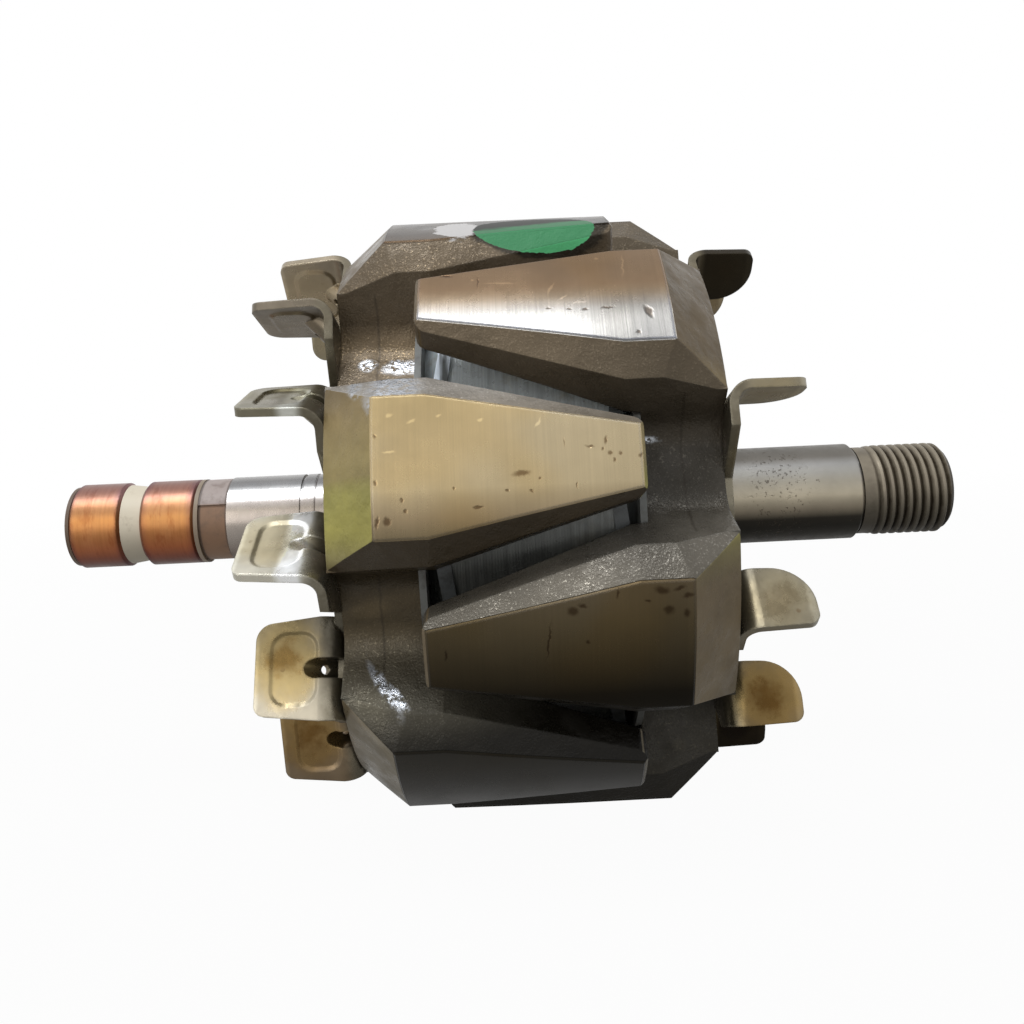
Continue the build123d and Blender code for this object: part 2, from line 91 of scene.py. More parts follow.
# %% Helpers for node trees
class Finish:
    """One material and the nodes that are added to it."""

    def __init__(self, name):
        self.material = bpy.data.materials.new(name)
        self.material.use_nodes = True
        self.nodes = self.material.node_tree.nodes
        self.links = self.material.node_tree.links
        self.shader = self.nodes["Principled BSDF"]
        texture = self.nodes.new("ShaderNodeTexCoord")
        self.place = texture.outputs["Object"]
        self.x, self.y, self.z = self.split(self.place)
        self.facing_x, self.facing_y, self.facing_z = self.split(texture.outputs["Normal"])

    def feed(self, socket, value):
        """Links a socket to another's output, or sets it to a number or colour."""
        if isinstance(value, bpy.types.NodeSocket):
            self.links.new(value, socket)
        elif isinstance(value, tuple):
            socket.default_value = (*value, 1)
        else:
            socket.default_value = value

    def split(self, vector):
        """The three parts of a vector, as three outputs."""
        node = self.nodes.new("ShaderNodeSeparateXYZ")
        self.links.new(vector, node.inputs[0])
        return node.outputs

    def math(self, operation, first, second=0.0, third=0.0):
        """One sum, with numbers or other outputs in it."""
        node = self.nodes.new("ShaderNodeMath")
        node.operation = operation
        for socket, value in zip(node.inputs, (first, second, third)):
            self.feed(socket, value)
        return node.outputs[0]

    def times(self, *values):
        """The product of masks."""
        product = values[0]
        for value in values[1:]:
            product = self.math("MULTIPLY", product, value)
        return product

    def outside(self, mask):
        """Everything that the mask leaves out."""
        return self.math("SUBTRACT", 1.0, mask)

    def step(self, value, low, high, start=0.0, end=1.0):
        """From start at low to end at high, smoothly, and level outside."""
        node = self.nodes.new("ShaderNodeMapRange")
        node.interpolation_type = "SMOOTHSTEP"
        self.links.new(value, node.inputs["Value"])
        node.inputs["From Min"].default_value = low
        node.inputs["From Max"].default_value = high
        node.inputs["To Min"].default_value = start
        node.inputs["To Max"].default_value = end
        return node.outputs["Result"]

    def band(self, value, low, high, soft):
        """1 between low and high, and 0 outside."""
        rise = self.step(value, low - soft, low + soft)
        fall = self.step(value, high - soft, high + soft, 1.0, 0.0)
        return self.math("MULTIPLY", rise, fall)

    def noise(self, per_metre, detail, rough, stretch=(1, 1, 1)):
        """Cloudy noise from 0 to 1 with this many cells to the metre."""
        mapping = self.nodes.new("ShaderNodeMapping")
        mapping.inputs["Scale"].default_value = stretch
        self.links.new(self.place, mapping.inputs["Vector"])
        node = self.nodes.new("ShaderNodeTexNoise")
        self.links.new(mapping.outputs[0], node.inputs["Vector"])
        node.inputs["Scale"].default_value = per_metre
        node.inputs["Detail"].default_value = detail
        node.inputs["Roughness"].default_value = rough
        return node.outputs["Fac"]

    def spots(self, per_metre, size):
        """Small round spots: 1 inside a spot and 0 outside."""
        node = self.nodes.new("ShaderNodeTexVoronoi")
        self.links.new(self.place, node.inputs["Vector"])
        node.inputs["Scale"].default_value = per_metre
        return self.step(node.outputs["Distance"], size * 0.6, size, 1.0, 0.0)

    def mix(self, share, first, second):
        """A colour between first and second."""
        node = self.nodes.new("ShaderNodeMix")
        node.data_type = "RGBA"
        self.feed(node.inputs[0], share)
        self.feed(node.inputs[6], first)
        self.feed(node.inputs[7], second)
        return node.outputs[2]

    def shade(self, colour, amount):
        """The colour made lighter or darker by a number from a socket."""
        node = self.nodes.new("ShaderNodeVectorMath")
        node.operation = "SCALE"
        self.links.new(colour, node.inputs[0])
        self.links.new(amount, node.inputs["Scale"])
        return node.outputs[0]

    def tint(self, colour, factors):
        """The colour with its red, green and blue each multiplied by a factor."""
        node = self.nodes.new("ShaderNodeVectorMath")
        node.operation = "MULTIPLY"
        self.links.new(colour, node.inputs[0])
        node.inputs[1].default_value = factors
        return node.outputs[0]

    def blend(self, share, first, second):
        """A number between first and second."""
        node = self.nodes.new("ShaderNodeMix")
        self.feed(node.inputs[0], share)
        self.feed(node.inputs[2], first)
        self.feed(node.inputs[3], second)
        return node.outputs[0]

    def ramp(self, value, low, high, stops):
        """Colours strung along a value that runs from low to high."""
        share = self.nodes.new("ShaderNodeMapRange")
        self.links.new(value, share.inputs["Value"])
        share.inputs["From Min"].default_value = low
        share.inputs["From Max"].default_value = high
        node = self.nodes.new("ShaderNodeValToRGB")
        self.links.new(share.outputs["Result"], node.inputs[0])
        elements = node.color_ramp.elements
        elements.remove(elements[1])
        for index, (at, colour) in enumerate(stops):
            place = (at - low) / (high - low)
            element = elements[0] if index == 0 else elements.new(place)
            element.position = place
            element.color = (*colour, 1)
        return node.outputs[0]

    def bump(self, height, depth, under=None):
        """A relief this deep in metres, laid over the relief under it."""
        node = self.nodes.new("ShaderNodeBump")
        node.inputs["Strength"].default_value = 1.0
        node.inputs["Distance"].default_value = depth
        self.links.new(height, node.inputs["Height"])
        if under is not None:
            self.links.new(under, node.inputs["Normal"])
        return node.outputs[0]

    def radius(self):
        """Distance from the shaft's axis."""
        squares = self.math("MULTIPLY_ADD", self.y, self.y, self.math("MULTIPLY", self.z, self.z))
        return self.math("SQRT", squares)

    def turn(self):
        """Angle round the shaft in degrees, from 0 to 360, with 90 at the top and 180 in front."""
        angle = self.math("ARCTAN2", self.z, self.y)
        return self.math("FLOORED_MODULO", self.math("MULTIPLY", angle, 180 / math.pi), 360.0)

    def unrolled(self, radius, wobble):
        """A flat map in millimetres, along the shaft and round it, with bevels folded out."""
        drift = self.math("MULTIPLY", self.math("SUBTRACT", self.noise(1000, 3, 0.6), 0.5), wobble)
        sway = self.math("MULTIPLY", self.math("SUBTRACT", self.noise(760, 3, 0.6), 0.5), wobble)
        along = self.math("MULTIPLY_ADD", self.x, 1 / mm, drift)
        round_it = self.math("MULTIPLY_ADD", self.turn(), math.radians(radius), sway)
        depth = self.math("SUBTRACT", radius, self.math("MULTIPLY", self.radius(), 1 / mm))
        node = self.nodes.new("ShaderNodeCombineXYZ")
        self.links.new(along, node.inputs[0])
        self.links.new(self.math("MULTIPLY_ADD", depth, 1.3, round_it), node.inputs[1])
        return node.outputs[0]

    def soft_edges(self, radius):
        """A normal that rounds sharp edges by this radius, and a mask of those edges."""
        rounded = self.nodes.new("ShaderNodeBevel")
        rounded.samples = 3
        rounded.inputs["Radius"].default_value = radius
        plain = self.nodes.new("ShaderNodeNewGeometry")
        node = self.nodes.new("ShaderNodeVectorMath")
        node.operation = "DOT_PRODUCT"
        self.links.new(rounded.outputs[0], node.inputs[0])
        self.links.new(plain.outputs["Normal"], node.inputs[1])
        return rounded.outputs[0], self.step(node.outputs["Value"], 0.9, 0.985, 1.0, 0.0)

    def patch(self, flat, x, arc, half_x, half_arc, tilt=0.0):
        """A soft oval on the flat map: 1 in its middle and 0 from its edge outwards."""
        mapping = self.nodes.new("ShaderNodeMapping")
        mapping.vector_type = "TEXTURE"
        mapping.inputs["Location"].default_value = (x, arc, 0)
        mapping.inputs["Rotation"].default_value = (0, 0, math.radians(tilt))
        mapping.inputs["Scale"].default_value = (half_x, half_arc, 1)
        self.links.new(flat, mapping.inputs["Vector"])
        node = self.nodes.new("ShaderNodeTexGradient")
        node.gradient_type = "SPHERICAL"
        self.links.new(mapping.outputs[0], node.inputs[0])
        return node.outputs["Fac"]

    def patches(self, flat, radius, rows):
        """Many ovals at once, each row (x, turn, half length, half width, tilt)."""
        total = None
        for x, turn, half_x, half_arc, tilt in rows:
            arc = math.radians(turn) * radius
            one = self.patch(flat, x, arc, half_x, half_arc, tilt)
            total = one if total is None else self.math("MAXIMUM", total, one)
        return total

    def set(self, **sockets):
        """Fills the shader's sockets, each under its plain word, and gives the material."""
        names = {
            "colour": "Base Color",
            "metal": "Metallic",
            "rough": "Roughness",
            "normal": "Normal",
            "specular": "Specular IOR Level",
        }
        for word, value in sockets.items():
            self.feed(self.shader.inputs[names[word]], value)
        return self.material


def wear(finish, *names):
    """Gives these solids the finish."""
    for name in names:
        nodes[name].data.materials.clear()
        nodes[name].data.materials.append(finish)


print("helpers ready")

# %% [markdown]
# ## Claw poles
# Each pole is a hot forging. Its fingers are turned bright on the outside after the rotor is
# assembled, while bevels, flanks and end faces keep the grainy forged skin under a brown
# impregnating varnish. One finish does both: the turned faces are found by their distance
# from the axis, and everything else gets the forged skin.
#
# Its fingers differ: one is bright, the next cream, others olive or nearly black. Part of this
# is oil and dust, and part is painted light: the tone ramps round the shaft carry a painted
# highlight band on the bright front finger and painted shade that darkens the lower fingers.
# A colour ramp round the shaft gives each finger its own tone, and noise breaks every tone up.
# Both poles share the ramps of the turned faces and the shoulders, because their fingers
# never share an angle.

# %% Tones round the shaft, each with its angle in degrees
rotor_middle = -29.6 * mm
# Turned faces: stain tones with a painted highlight from 136 to 150 degrees, and painted shade that
# makes the lower fingers near black round 200 to 240 degrees.
turned_stain_highlight_shade = (
    (0, (0.19, 0.14, 0.09)),
    (15, (0.3, 0.23, 0.15)),
    (45, (0.36, 0.3, 0.21)),
    (75, (0.22, 0.18, 0.13)),
    (92, (0.06, 0.041, 0.026)),
    (113, (0.055, 0.039, 0.026)),
    (122, (0.19, 0.125, 0.072)),
    (134, (0.22, 0.148, 0.09)),
    (136, (0.24, 0.18, 0.12)),
    (139.5, (0.31, 0.3, 0.285)),
    (147, (0.33, 0.325, 0.315)),
    (154, (0.45, 0.365, 0.22)),
    (160, (0.49, 0.4, 0.25)),
    (169, (0.475, 0.385, 0.235)),
    (170.3, (0.38, 0.3, 0.18)),
    (173, (0.29, 0.22, 0.13)),
    (176, (0.18, 0.14, 0.08)),
    (184, (0.135, 0.105, 0.065)),
    (190, (0.095, 0.073, 0.04)),
    (197, (0.045, 0.034, 0.018)),
    (203, (0.008, 0.006, 0.003)),
    (216, (0.025, 0.022, 0.016)),
    (240, (0.017, 0.015, 0.011)),
    (265, (0.05, 0.042, 0.03)),
    (290, (0.12, 0.095, 0.062)),
    (320, (0.28, 0.23, 0.155)),
    (345, (0.34, 0.28, 0.18)),
    (360, (0.19, 0.14, 0.09)),
)
# Shoulders: a yellow-green film and stains, with painted light that brightens the lower rear shoulder
# and painted shade on the bottom ones.
shoulder_stain_light_shade = (
    (0, (0.15, 0.12, 0.08)),
    (60, (0.13, 0.105, 0.075)),
    (100, (0.15, 0.115, 0.075)),
    (118, (0.12, 0.09, 0.055)),
    (126, (0.11, 0.078, 0.04)),
    (146, (0.12, 0.085, 0.042)),
    (155, (0.28, 0.21, 0.1)),
    (166, (0.3, 0.24, 0.1)),
    (168, (0.33, 0.3, 0.09)),
    (175, (0.38, 0.345, 0.095)),
    (181, (0.2, 0.17, 0.08)),
    (186, (0.18, 0.137, 0.082)),
    (206, (0.17, 0.13, 0.075)),
    (214, (0.16, 0.135, 0.09)),
    (226, (0.17, 0.148, 0.11)),
    (234, (0.15, 0.135, 0.105)),
    (241, (0.06, 0.052, 0.036)),
    (262, (0.045, 0.038, 0.028)),
    (310, (0.13, 0.1, 0.06)),
    (360, (0.15, 0.12, 0.08)),
)
# Forged skin: stain tones with a painted highlight on the rear skin round 151 degrees, and painted
# shade that makes the skin near black below.
rear_skin_stain_light_shade = (
    (0, (0.16, 0.125, 0.08)),
    (60, (0.13, 0.1, 0.065)),
    (95, (0.12, 0.092, 0.058)),
    (116, (0.15, 0.115, 0.075)),
    (128, (0.14, 0.1, 0.055)),
    (143, (0.16, 0.125, 0.085)),
    (151, (0.4, 0.37, 0.33)),
    (160, (0.2, 0.165, 0.12)),
    (174, (0.1, 0.07, 0.036)),
    (186, (0.1, 0.074, 0.04)),
    (200, (0.11, 0.083, 0.045)),
    (208, (0.1, 0.09, 0.066)),
    (213, (0.015, 0.013, 0.009)),
    (222, (0.005, 0.004, 0.003)),
    (260, (0.03, 0.025, 0.017)),
    (310, (0.1, 0.078, 0.05)),
    (360, (0.16, 0.125, 0.08)),
)
# The front skin has the same kind of painted light and painted shade below.
front_skin_stain_light_shade = (
    (0, (0.16, 0.125, 0.08)),
    (60, (0.13, 0.1, 0.065)),
    (100, (0.1, 0.078, 0.05)),
    (120, (0.12, 0.092, 0.06)),
    (140, (0.16, 0.122, 0.078)),
    (151, (0.19, 0.15, 0.1)),
    (160, (0.06, 0.052, 0.04)),
    (172, (0.05, 0.044, 0.034)),
    (179, (0.15, 0.135, 0.11)),
    (186, (0.13, 0.115, 0.09)),
    (200, (0.05, 0.042, 0.028)),
    (222, (0.03, 0.026, 0.018)),
    (260, (0.03, 0.025, 0.017)),
    (310, (0.1, 0.078, 0.05)),
    (360, (0.16, 0.125, 0.08)),
)
print("stops", len(turned_stain_highlight_shade), len(shoulder_stain_light_shade), len(rear_skin_stain_light_shade), len(front_skin_stain_light_shade))

# %% [markdown]
# Small marks follow the real rotor: dark dashes and rust dots where it was knocked, and a few
# light scratches. The last rear light mark is a painted sheen on the root of the lower finger.
# Each is a soft oval on a flat map of the turned face, so it can be placed by its distance
# along the shaft and its angle round it. The map is shaken by fine noise, so no mark is a clean
# oval. The glints are painted highlights, white and metallic, in the valleys between the
# fingers, where the map folds the slopes out flat.

# %% Marks: millimetres along, degrees round, half length, half width, tilt
face_radius = 50.5
wobble = 0.9
rear_dark_marks = (
    (-30.8, 167.1, 1.7, 0.5, -3),
    (-28.3, 167.9, 0.4, 0.28, 0),
    (-29.6, 169.7, 0.36, 0.34, 0),
    (-19.5, 162.6, 0.3, 0.9, 8),
    (-19.1, 164.6, 0.5, 0.5, 35),
    (-18.5, 165.6, 0.4, 0.4, 0),
    (-17.7, 164.6, 0.35, 0.45, 0),
    (-20.0, 163.9, 0.3, 0.3, 0),
    (-21.6, 163.5, 0.8, 0.22, 8),
    (-25.0, 162.6, 0.14, 0.9, 0),
    (-15.1, 165.1, 0.4, 0.35, 0),
    (-23.7, 169.1, 0.2, 0.6, 0),
    (-32.7, 169.4, 0.36, 0.36, 0),
    (-48.5, 173.3, 0.75, 0.8, 0),
    (-46.6, 170.3, 0.35, 0.4, 0),
    (-46.1, 171.9, 0.3, 0.4, 0),
    (-39.7, 168.7, 0.32, 0.32, 0),
    (-36.6, 171.8, 0.9, 0.3, 0),
    (-49.8, 173.4, 0.35, 1.1, 0),
    (-49.9, 160.5, 0.3, 0.6, 0),
    (-49.9, 167.5, 0.3, 0.5, 0),
    (-44.5, 107.0, 2.6, 2.5, 10),
    (-47.0, 104.0, 2.0, 4.0, 0),
    (-36.0, 103.5, 3.0, 2.2, 0),
    (-15.5, 108.0, 2.6, 4.6, 0),
    (-13.0, 104.0, 2.2, 4.0, 0),
)
rear_scratches_and_sheen = (
    (-48.0, 162.9, 1.1, 0.26, 5),
    (-48.0, 157.2, 0.6, 0.36, 0),
    (-45.0, 158.3, 0.8, 0.34, -20),
    (-41.5, 157.6, 0.5, 0.26, -20),
    (-28.3, 159.4, 0.22, 1.0, 35),
    (-36.0, 158.6, 0.5, 0.3, 10),
    # Painted sheen on the lower finger's root, not a scratch.
    (-53.9, 216.2, 4.2, 2.8, -20),
)
front_dark_marks = (
    (-24.9, 188.0, 1.0, 0.9, 15),
    (-23.6, 187.3, 0.9, 0.4, 10),
    (-28.2, 192.7, 0.2, 3.6, 8),
    (-18.9, 185.6, 0.25, 1.0, 0),
    (-13.1, 185.4, 1.5, 0.8, 10),
    (-10.8, 185.2, 1.1, 0.45, -20),
    (-9.7, 186.4, 1.0, 0.5, -10),
    (-12.3, 188.5, 1.0, 0.9, 0),
    (-9.9, 189.2, 0.7, 0.8, 0),
    (-15.0, 187.0, 0.6, 0.3, 0),
    (-41.9, 194.3, 0.2, 1.1, 0),
    (-23.1, 193.2, 0.45, 0.4, 0),
    (-20.8, 139.5, 0.75, 0.3, 0),
    (-17.6, 139.3, 1.2, 0.26, 0),
    (-26.0, 138.9, 0.45, 0.28, 0),
    (-23.0, 139.3, 0.5, 0.2, 0),
    (-11.9, 140.6, 0.7, 1.7, -20),
    (-13.7, 144.6, 0.5, 0.45, 0),
    (-35.8, 132.0, 0.16, 1.7, 0),
    (-40.3, 130.0, 1.2, 0.4, 5),
)
front_light_marks = (
    (-25.4, 134.4, 0.24, 1.8, 25),
    (-23.8, 136.6, 0.3, 0.9, 50),
    (-21.6, 137.9, 1.5, 0.24, -10),
    (-32.6, 132.5, 3.2, 0.24, 3),
    (-36.5, 131.2, 0.4, 0.3, 0),
    (-18.2, 126.7, 0.45, 0.42, 0),
    (-14.6, 129.0, 0.2, 3.6, 4),
    (-7.4, 248.5, 1.5, 1.4, 0),
)
# Painted highlights: white glint patches in the valleys of the rear pole.
rear_glints = (
    (-53.6, 154.4, 1.8, 2.4, 0),
    (-49.0, 153.8, 1.6, 1.4, 0),
    (-47.5, 155.6, 5.0, 2.8, -6),
    (-51.7, 218.3, 5.4, 1.1, -53),
    (-50.0, 217.0, 3.4, 0.9, -50),
)
# Painted highlights: white glint patches in the valleys of the front pole.
front_glints = (
    (-14.0, 178.5, 4.5, 1.5, 3),
    (-28.0, 180.5, 6.0, 1.0, 3),
)
print("marks", len(rear_dark_marks) + len(front_dark_marks), "dark")

# %% [markdown]
# The forged skin is brown under its varnish, with pale grains that stand up through it. On
# faces that look up the grains are painted lighter and more metallic as painted glints, and
# faces that look down are painted darker as shade. The shoulders were wiped and rolled
# smoother, and one of them has a yellow-green film. Sharp edges are rounded in the finish by a
# Bevel node, and rubbed a little brighter.

# %% One finish for each pole
turned_from = 50.2 * mm
shoulder_foot = 43.6 * mm
root_line = 19.5 * mm
seam_place = 23.1 * mm
varnish_brown = (0.02, 0.014, 0.008)
glint_white = (0.6, 0.63, 0.68)


def dress_pole(name, skin_stain_light_shade, dark_rows, light_rows, glint_rows):
    """Forged skin and turned faces. Gives the finish, its colour, metal and roughness."""
    poles = Finish(name)
    radius = poles.radius()
    turn = poles.turn()
    turned = poles.step(radius, turned_from, turned_from + 0.1 * mm)
    slope = poles.math("ABSOLUTE", poles.facing_x)
    high = poles.step(radius, shoulder_foot, shoulder_foot + 0.6 * mm)
    shoulder = poles.times(poles.band(slope, 0.55, 0.72, 0.03), high)
    off_middle = poles.math("ABSOLUTE", poles.math("SUBTRACT", poles.x, rotor_middle))
    root_strip = poles.times(poles.step(off_middle, root_line, root_line + 0.5 * mm), turned)
    cloud = poles.noise(45, 4, 0.6)
    stain = poles.noise(130, 5, 0.65)
    grain = poles.noise(3200, 2, 0.6)
    soft_normal, edges = poles.soft_edges(0.45 * mm)

    lathe_lines = poles.noise(1, 3, 0.7, (4200, 14, 14))
    # The turned faces take their stains, painted highlight and painted shade from this ramp.
    face = poles.ramp(turn, 0, 360, turned_stain_highlight_shade)
    face = poles.shade(face, poles.step(cloud, 0.25, 0.75, 0.86, 1.12))
    # The band from 136 to 150 degrees is the bright finger's painted highlight, where the lathe lines
    # show clearly; towards the front end it is painted darker to dim it.
    line_share = poles.times(poles.band(turn, 136, 150, 2), 0.8)
    faint_lines = poles.step(lathe_lines, 0.3, 0.7, 0.965, 1.03)
    clear_lines = poles.step(lathe_lines, 0.3, 0.7, 0.8, 1.12)
    face = poles.shade(face, poles.blend(line_share, faint_lines, clear_lines))
    dimmed_highlight = poles.times(poles.band(poles.x, -21 * mm, -10.5 * mm, 3 * mm), line_share)
    face = poles.shade(face, poles.math("MULTIPLY_ADD", dimmed_highlight, -0.32, 1.0))
    yellow = poles.step(poles.noise(70, 1, 0.4), 0.45, 0.7)
    golden = poles.times(yellow, poles.outside(line_share), 0.55)
    face = poles.mix(golden, face, poles.tint(face, (1.0, 0.88, 0.62)))
    face = poles.shade(face, poles.math("MULTIPLY_ADD", root_strip, 0.06, 1.0))
    flat = poles.unrolled(face_radius, wobble)
    dark_marks = poles.step(poles.patches(flat, face_radius, dark_rows), 0.0, 0.75)
    dark_marks = poles.times(dark_marks, turned, 0.75)
    light_marks = poles.times(poles.step(poles.patches(flat, face_radius, light_rows), 0.0, 0.7), 0.5)
    # The glints are painted highlights: white, metallic and smooth.
    glints = poles.step(poles.patches(flat, face_radius, glint_rows), 0.0, 0.6)
    broken = poles.step(poles.noise(900, 4, 0.7), 0.4, 0.52)
    glints = poles.times(glints, broken, poles.outside(turned))
    upper = poles.step(turn, 182, 186, 1.0, 0.0)
    lower = poles.band(turn, 203, 210, 0.8)
    glints = poles.times(glints, poles.math("MAXIMUM", upper, lower))
    scratch = poles.noise(300, 2, 0.5, (0.05, 1, 1))
    scratches = poles.times(poles.step(scratch, 0.68, 0.72), 0.16)
    face = poles.mix(scratches, face, poles.tint(face, (1.7, 1.65, 1.6)))

    # The skin takes its stains, painted highlight and painted shade from this ramp.
    skin = poles.ramp(turn, 0, 360, skin_stain_light_shade)
    skin = poles.shade(skin, poles.step(cloud, 0.25, 0.75, 0.75, 1.25))
    # Painted shade: the skin is darker on faces that look down.
    skin = poles.shade(skin, poles.step(poles.facing_z, -0.7, 0.1, 0.45, 1.0))
    # Painted glints: pale grains are lighter and more metallic on faces that look up.
    upward_glint_share = poles.step(poles.facing_z, -0.5, 0.6, 0.25, 1.0)
    grain_glints = poles.times(poles.step(grain, 0.58, 0.68), upward_glint_share)
    skin = poles.mix(poles.times(grain_glints, 0.7), skin, poles.tint(skin, (2.4, 2.5, 2.7)))
    seam = poles.math("MULTIPLY_ADD", stain, 1.6 * mm, off_middle)
    seam = poles.band(seam, seam_place, seam_place + 0.2 * mm, 0.25 * mm)
    seam = poles.times(seam, poles.outside(high))
    skin = poles.mix(poles.times(seam, 0.7), skin, varnish_brown)
    # The shoulders take their stains, painted light and painted shade from this ramp.
    smooth = poles.ramp(turn, 0, 360, shoulder_stain_light_shade)
    smooth = poles.shade(smooth, poles.step(stain, 0.3, 0.7, 0.84, 1.14))
    skin = poles.mix(shoulder, skin, smooth)
    colour = poles.mix(turned, skin, face)
    colour = poles.mix(light_marks, colour, poles.tint(colour, (1.9, 1.9, 1.85)))
    colour = poles.mix(dark_marks, colour, poles.tint(colour, (0.27, 0.19, 0.13)))
    worn = poles.times(edges, poles.step(stain, 0.3, 0.6, 0.2, 0.7), poles.blend(turned, 1.0, 0.2))
    colour = poles.mix(worn, colour, poles.tint(colour, (1.65, 1.75, 1.9)))
    face_rims = poles.times(edges, turned)
    colour = poles.mix(poles.times(face_rims, 0.8), colour, poles.tint(colour, (0.85, 0.95, 1.3)))
    colour = poles.mix(glints, colour, glint_white)

    rough_skin = poles.step(poles.noise(240, 4, 0.6), 0.32, 0.68, 0.2, 0.48)
    rough_face = poles.step(stain, 0.3, 0.7, 0.2, 0.3)
    rough = poles.blend(turned, rough_skin, rough_face)
    rough = poles.blend(face_rims, rough, 0.6)
    rough = poles.blend(glints, rough, 0.14)
    grain_metal = poles.times(grain_glints, poles.outside(turned), 0.8)
    metal = poles.math("MAXIMUM", poles.blend(turned, 0.25, 0.85), grain_metal)
    metal = poles.math("MAXIMUM", metal, poles.times(glints, 0.9))

    rough_part = poles.times(poles.outside(turned), poles.outside(poles.times(shoulder, 0.85)))
    relief = poles.bump(poles.times(lathe_lines, turned), 0.006 * mm, soft_normal)
    relief = poles.bump(poles.times(grain, rough_part), 0.08 * mm, relief)
    lumps = poles.times(poles.noise(330, 3, 0.55), poles.outside(turned))
    relief = poles.bump(lumps, 0.24 * mm, relief)
    relief = poles.bump(dark_marks, -0.05 * mm, relief)
    poles.set(normal=relief, specular=0.3)
    return poles, colour, metal, rough


front_pole, colour, metal, rough = dress_pole(
    "front_pole_steel",
    front_skin_stain_light_shade,
    front_dark_marks,
    front_light_marks,
    front_glints,
)
wear(front_pole.set(colour=colour, metal=metal, rough=rough), "front_claw_pole")
print("front pole dressed")

# %% [markdown]
# The green dab and the white stroke on the top finger are shop paint: plain marks with no
# sign or letter in them. The green one runs over the finger's near bevel and flank. It was
# wiped while wet, so its far side is smeared dark, and a dark film lies round both. The
# green is painted darker on top and lighter on the flank, as painted shade and light against
# the light that falls on each face, so that it renders as one even green.

# %% Paint on the rear pole
rear_pole, colour, metal, rough = dress_pole(
    "rear_pole_steel",
    rear_skin_stain_light_shade,
    rear_dark_marks,
    rear_scratches_and_sheen,
    rear_glints,
)
flat = rear_pole.unrolled(face_radius, wobble)
torn = rear_pole.math("SUBTRACT", rear_pole.noise(420, 4, 0.6, (0.35, 1, 1)), 0.5)
near = rear_pole.step(rear_pole.radius(), 44 * mm, 45 * mm)
finger_top = math.radians(105) * face_radius
dab_x = -27.0


def torn_shape(x, arc, half_x, half_arc, tearing, low, high):
    """An oval on the top finger with a torn edge."""
    oval = rear_pole.patch(flat, x, finger_top + arc, half_x, half_arc)
    oval = rear_pole.math("MULTIPLY_ADD", torn, tearing, oval)
    return rear_pole.times(rear_pole.step(oval, low, high), near)


green = torn_shape(dab_x, 5.5, 10.7, 8.5, 0.05, 0.09, 0.1)
white = torn_shape(-39.3, 4.0, 4.6, 7.6, 0.9, 0.24, 0.34)
film = torn_shape(-26.2, 5.2, 12.6, 10.4, 0.3, 0.06, 0.14)
slant = rear_pole.math("MULTIPLY_ADD", rear_pole.x, 0.27 / mm, -0.27 * dab_x)
wiped = rear_pole.math("MULTIPLY_ADD", torn, 5.0, rear_pole.turn())
wiped = rear_pole.math("ADD", wiped, slant)
smear = rear_pole.step(wiped, 108.2, 109.6, 1.0, 0.0)
paint_colour = rear_pole.mix(smear, (0.065, 0.3, 0.13), (0.02, 0.022, 0.016))
# Painted shade on the top face and painted light on the flank, so the dab renders evenly.
top_painted_shade = rear_pole.step(rear_pole.facing_z, 0.5, 0.85, 1.0, 0.58)
flank_painted_light = rear_pole.step(rear_pole.facing_z, -0.2, 0.3, 2.7, 1.0)
paint_colour = rear_pole.shade(rear_pole.shade(paint_colour, top_painted_shade), flank_painted_light)
colour = rear_pole.mix(rear_pole.times(film, 0.85), colour, (0.02, 0.017, 0.012))
colour = rear_pole.mix(white, colour, (0.6, 0.58, 0.57))
colour = rear_pole.mix(green, colour, paint_colour)
painted = rear_pole.math("MAXIMUM", green, white)
metal = rear_pole.times(metal, rear_pole.outside(painted))
rough = rear_pole.blend(painted, rough, 0.5)
wear(rear_pole.set(colour=colour, metal=metal, rough=rough), "rear_claw_pole")
print("rear pole dressed")

# %% [markdown]
# ## Shaft
# The seats are ground. Their bright narrow bands are painted highlights in the colour ramps
# round the shaft, and their lower sides are painted dark as shade. The front journal has
# dulled and rusted in small pits near the fan, and the rear seat is still polished.

# %% Finish of the shaft
collar_rear = -61.6 * mm
collar_front = -59.4 * mm
seat_groove = -66.75 * mm
groove_width = 0.2 * mm
rust_start = 9 * mm
rust_end = 18.5 * mm
steel = Finish("shaft_steel")
turn = steel.turn()
cloud = steel.noise(80, 4, 0.6)
fine = steel.noise(600, 4, 0.65)
rear = steel.step(steel.x, -62 * mm, -58 * mm, 1.0, 0.0)
# Painted highlight band on the upper front, and painted shade that is near black under the shaft.
front_steel_light_shade = steel.ramp(
    turn,
    0,
    360,
    (
        (0, (0.2, 0.18, 0.15)),
        (100, (0.14, 0.13, 0.112)),
        (125, (0.17, 0.158, 0.14)),
        (137, (0.28, 0.275, 0.265)),
        (148, (0.31, 0.3, 0.275)),
        (160, (0.36, 0.33, 0.27)),
        (176, (0.5, 0.44, 0.33)),
        (191, (0.27, 0.23, 0.17)),
        (203, (0.03, 0.026, 0.02)),
        (216, (0.018, 0.016, 0.012)),
        (236, (0.032, 0.028, 0.02)),
        (270, (0.09, 0.08, 0.06)),
        (320, (0.17, 0.15, 0.12)),
        (360, (0.2, 0.18, 0.15)),
    ),
)
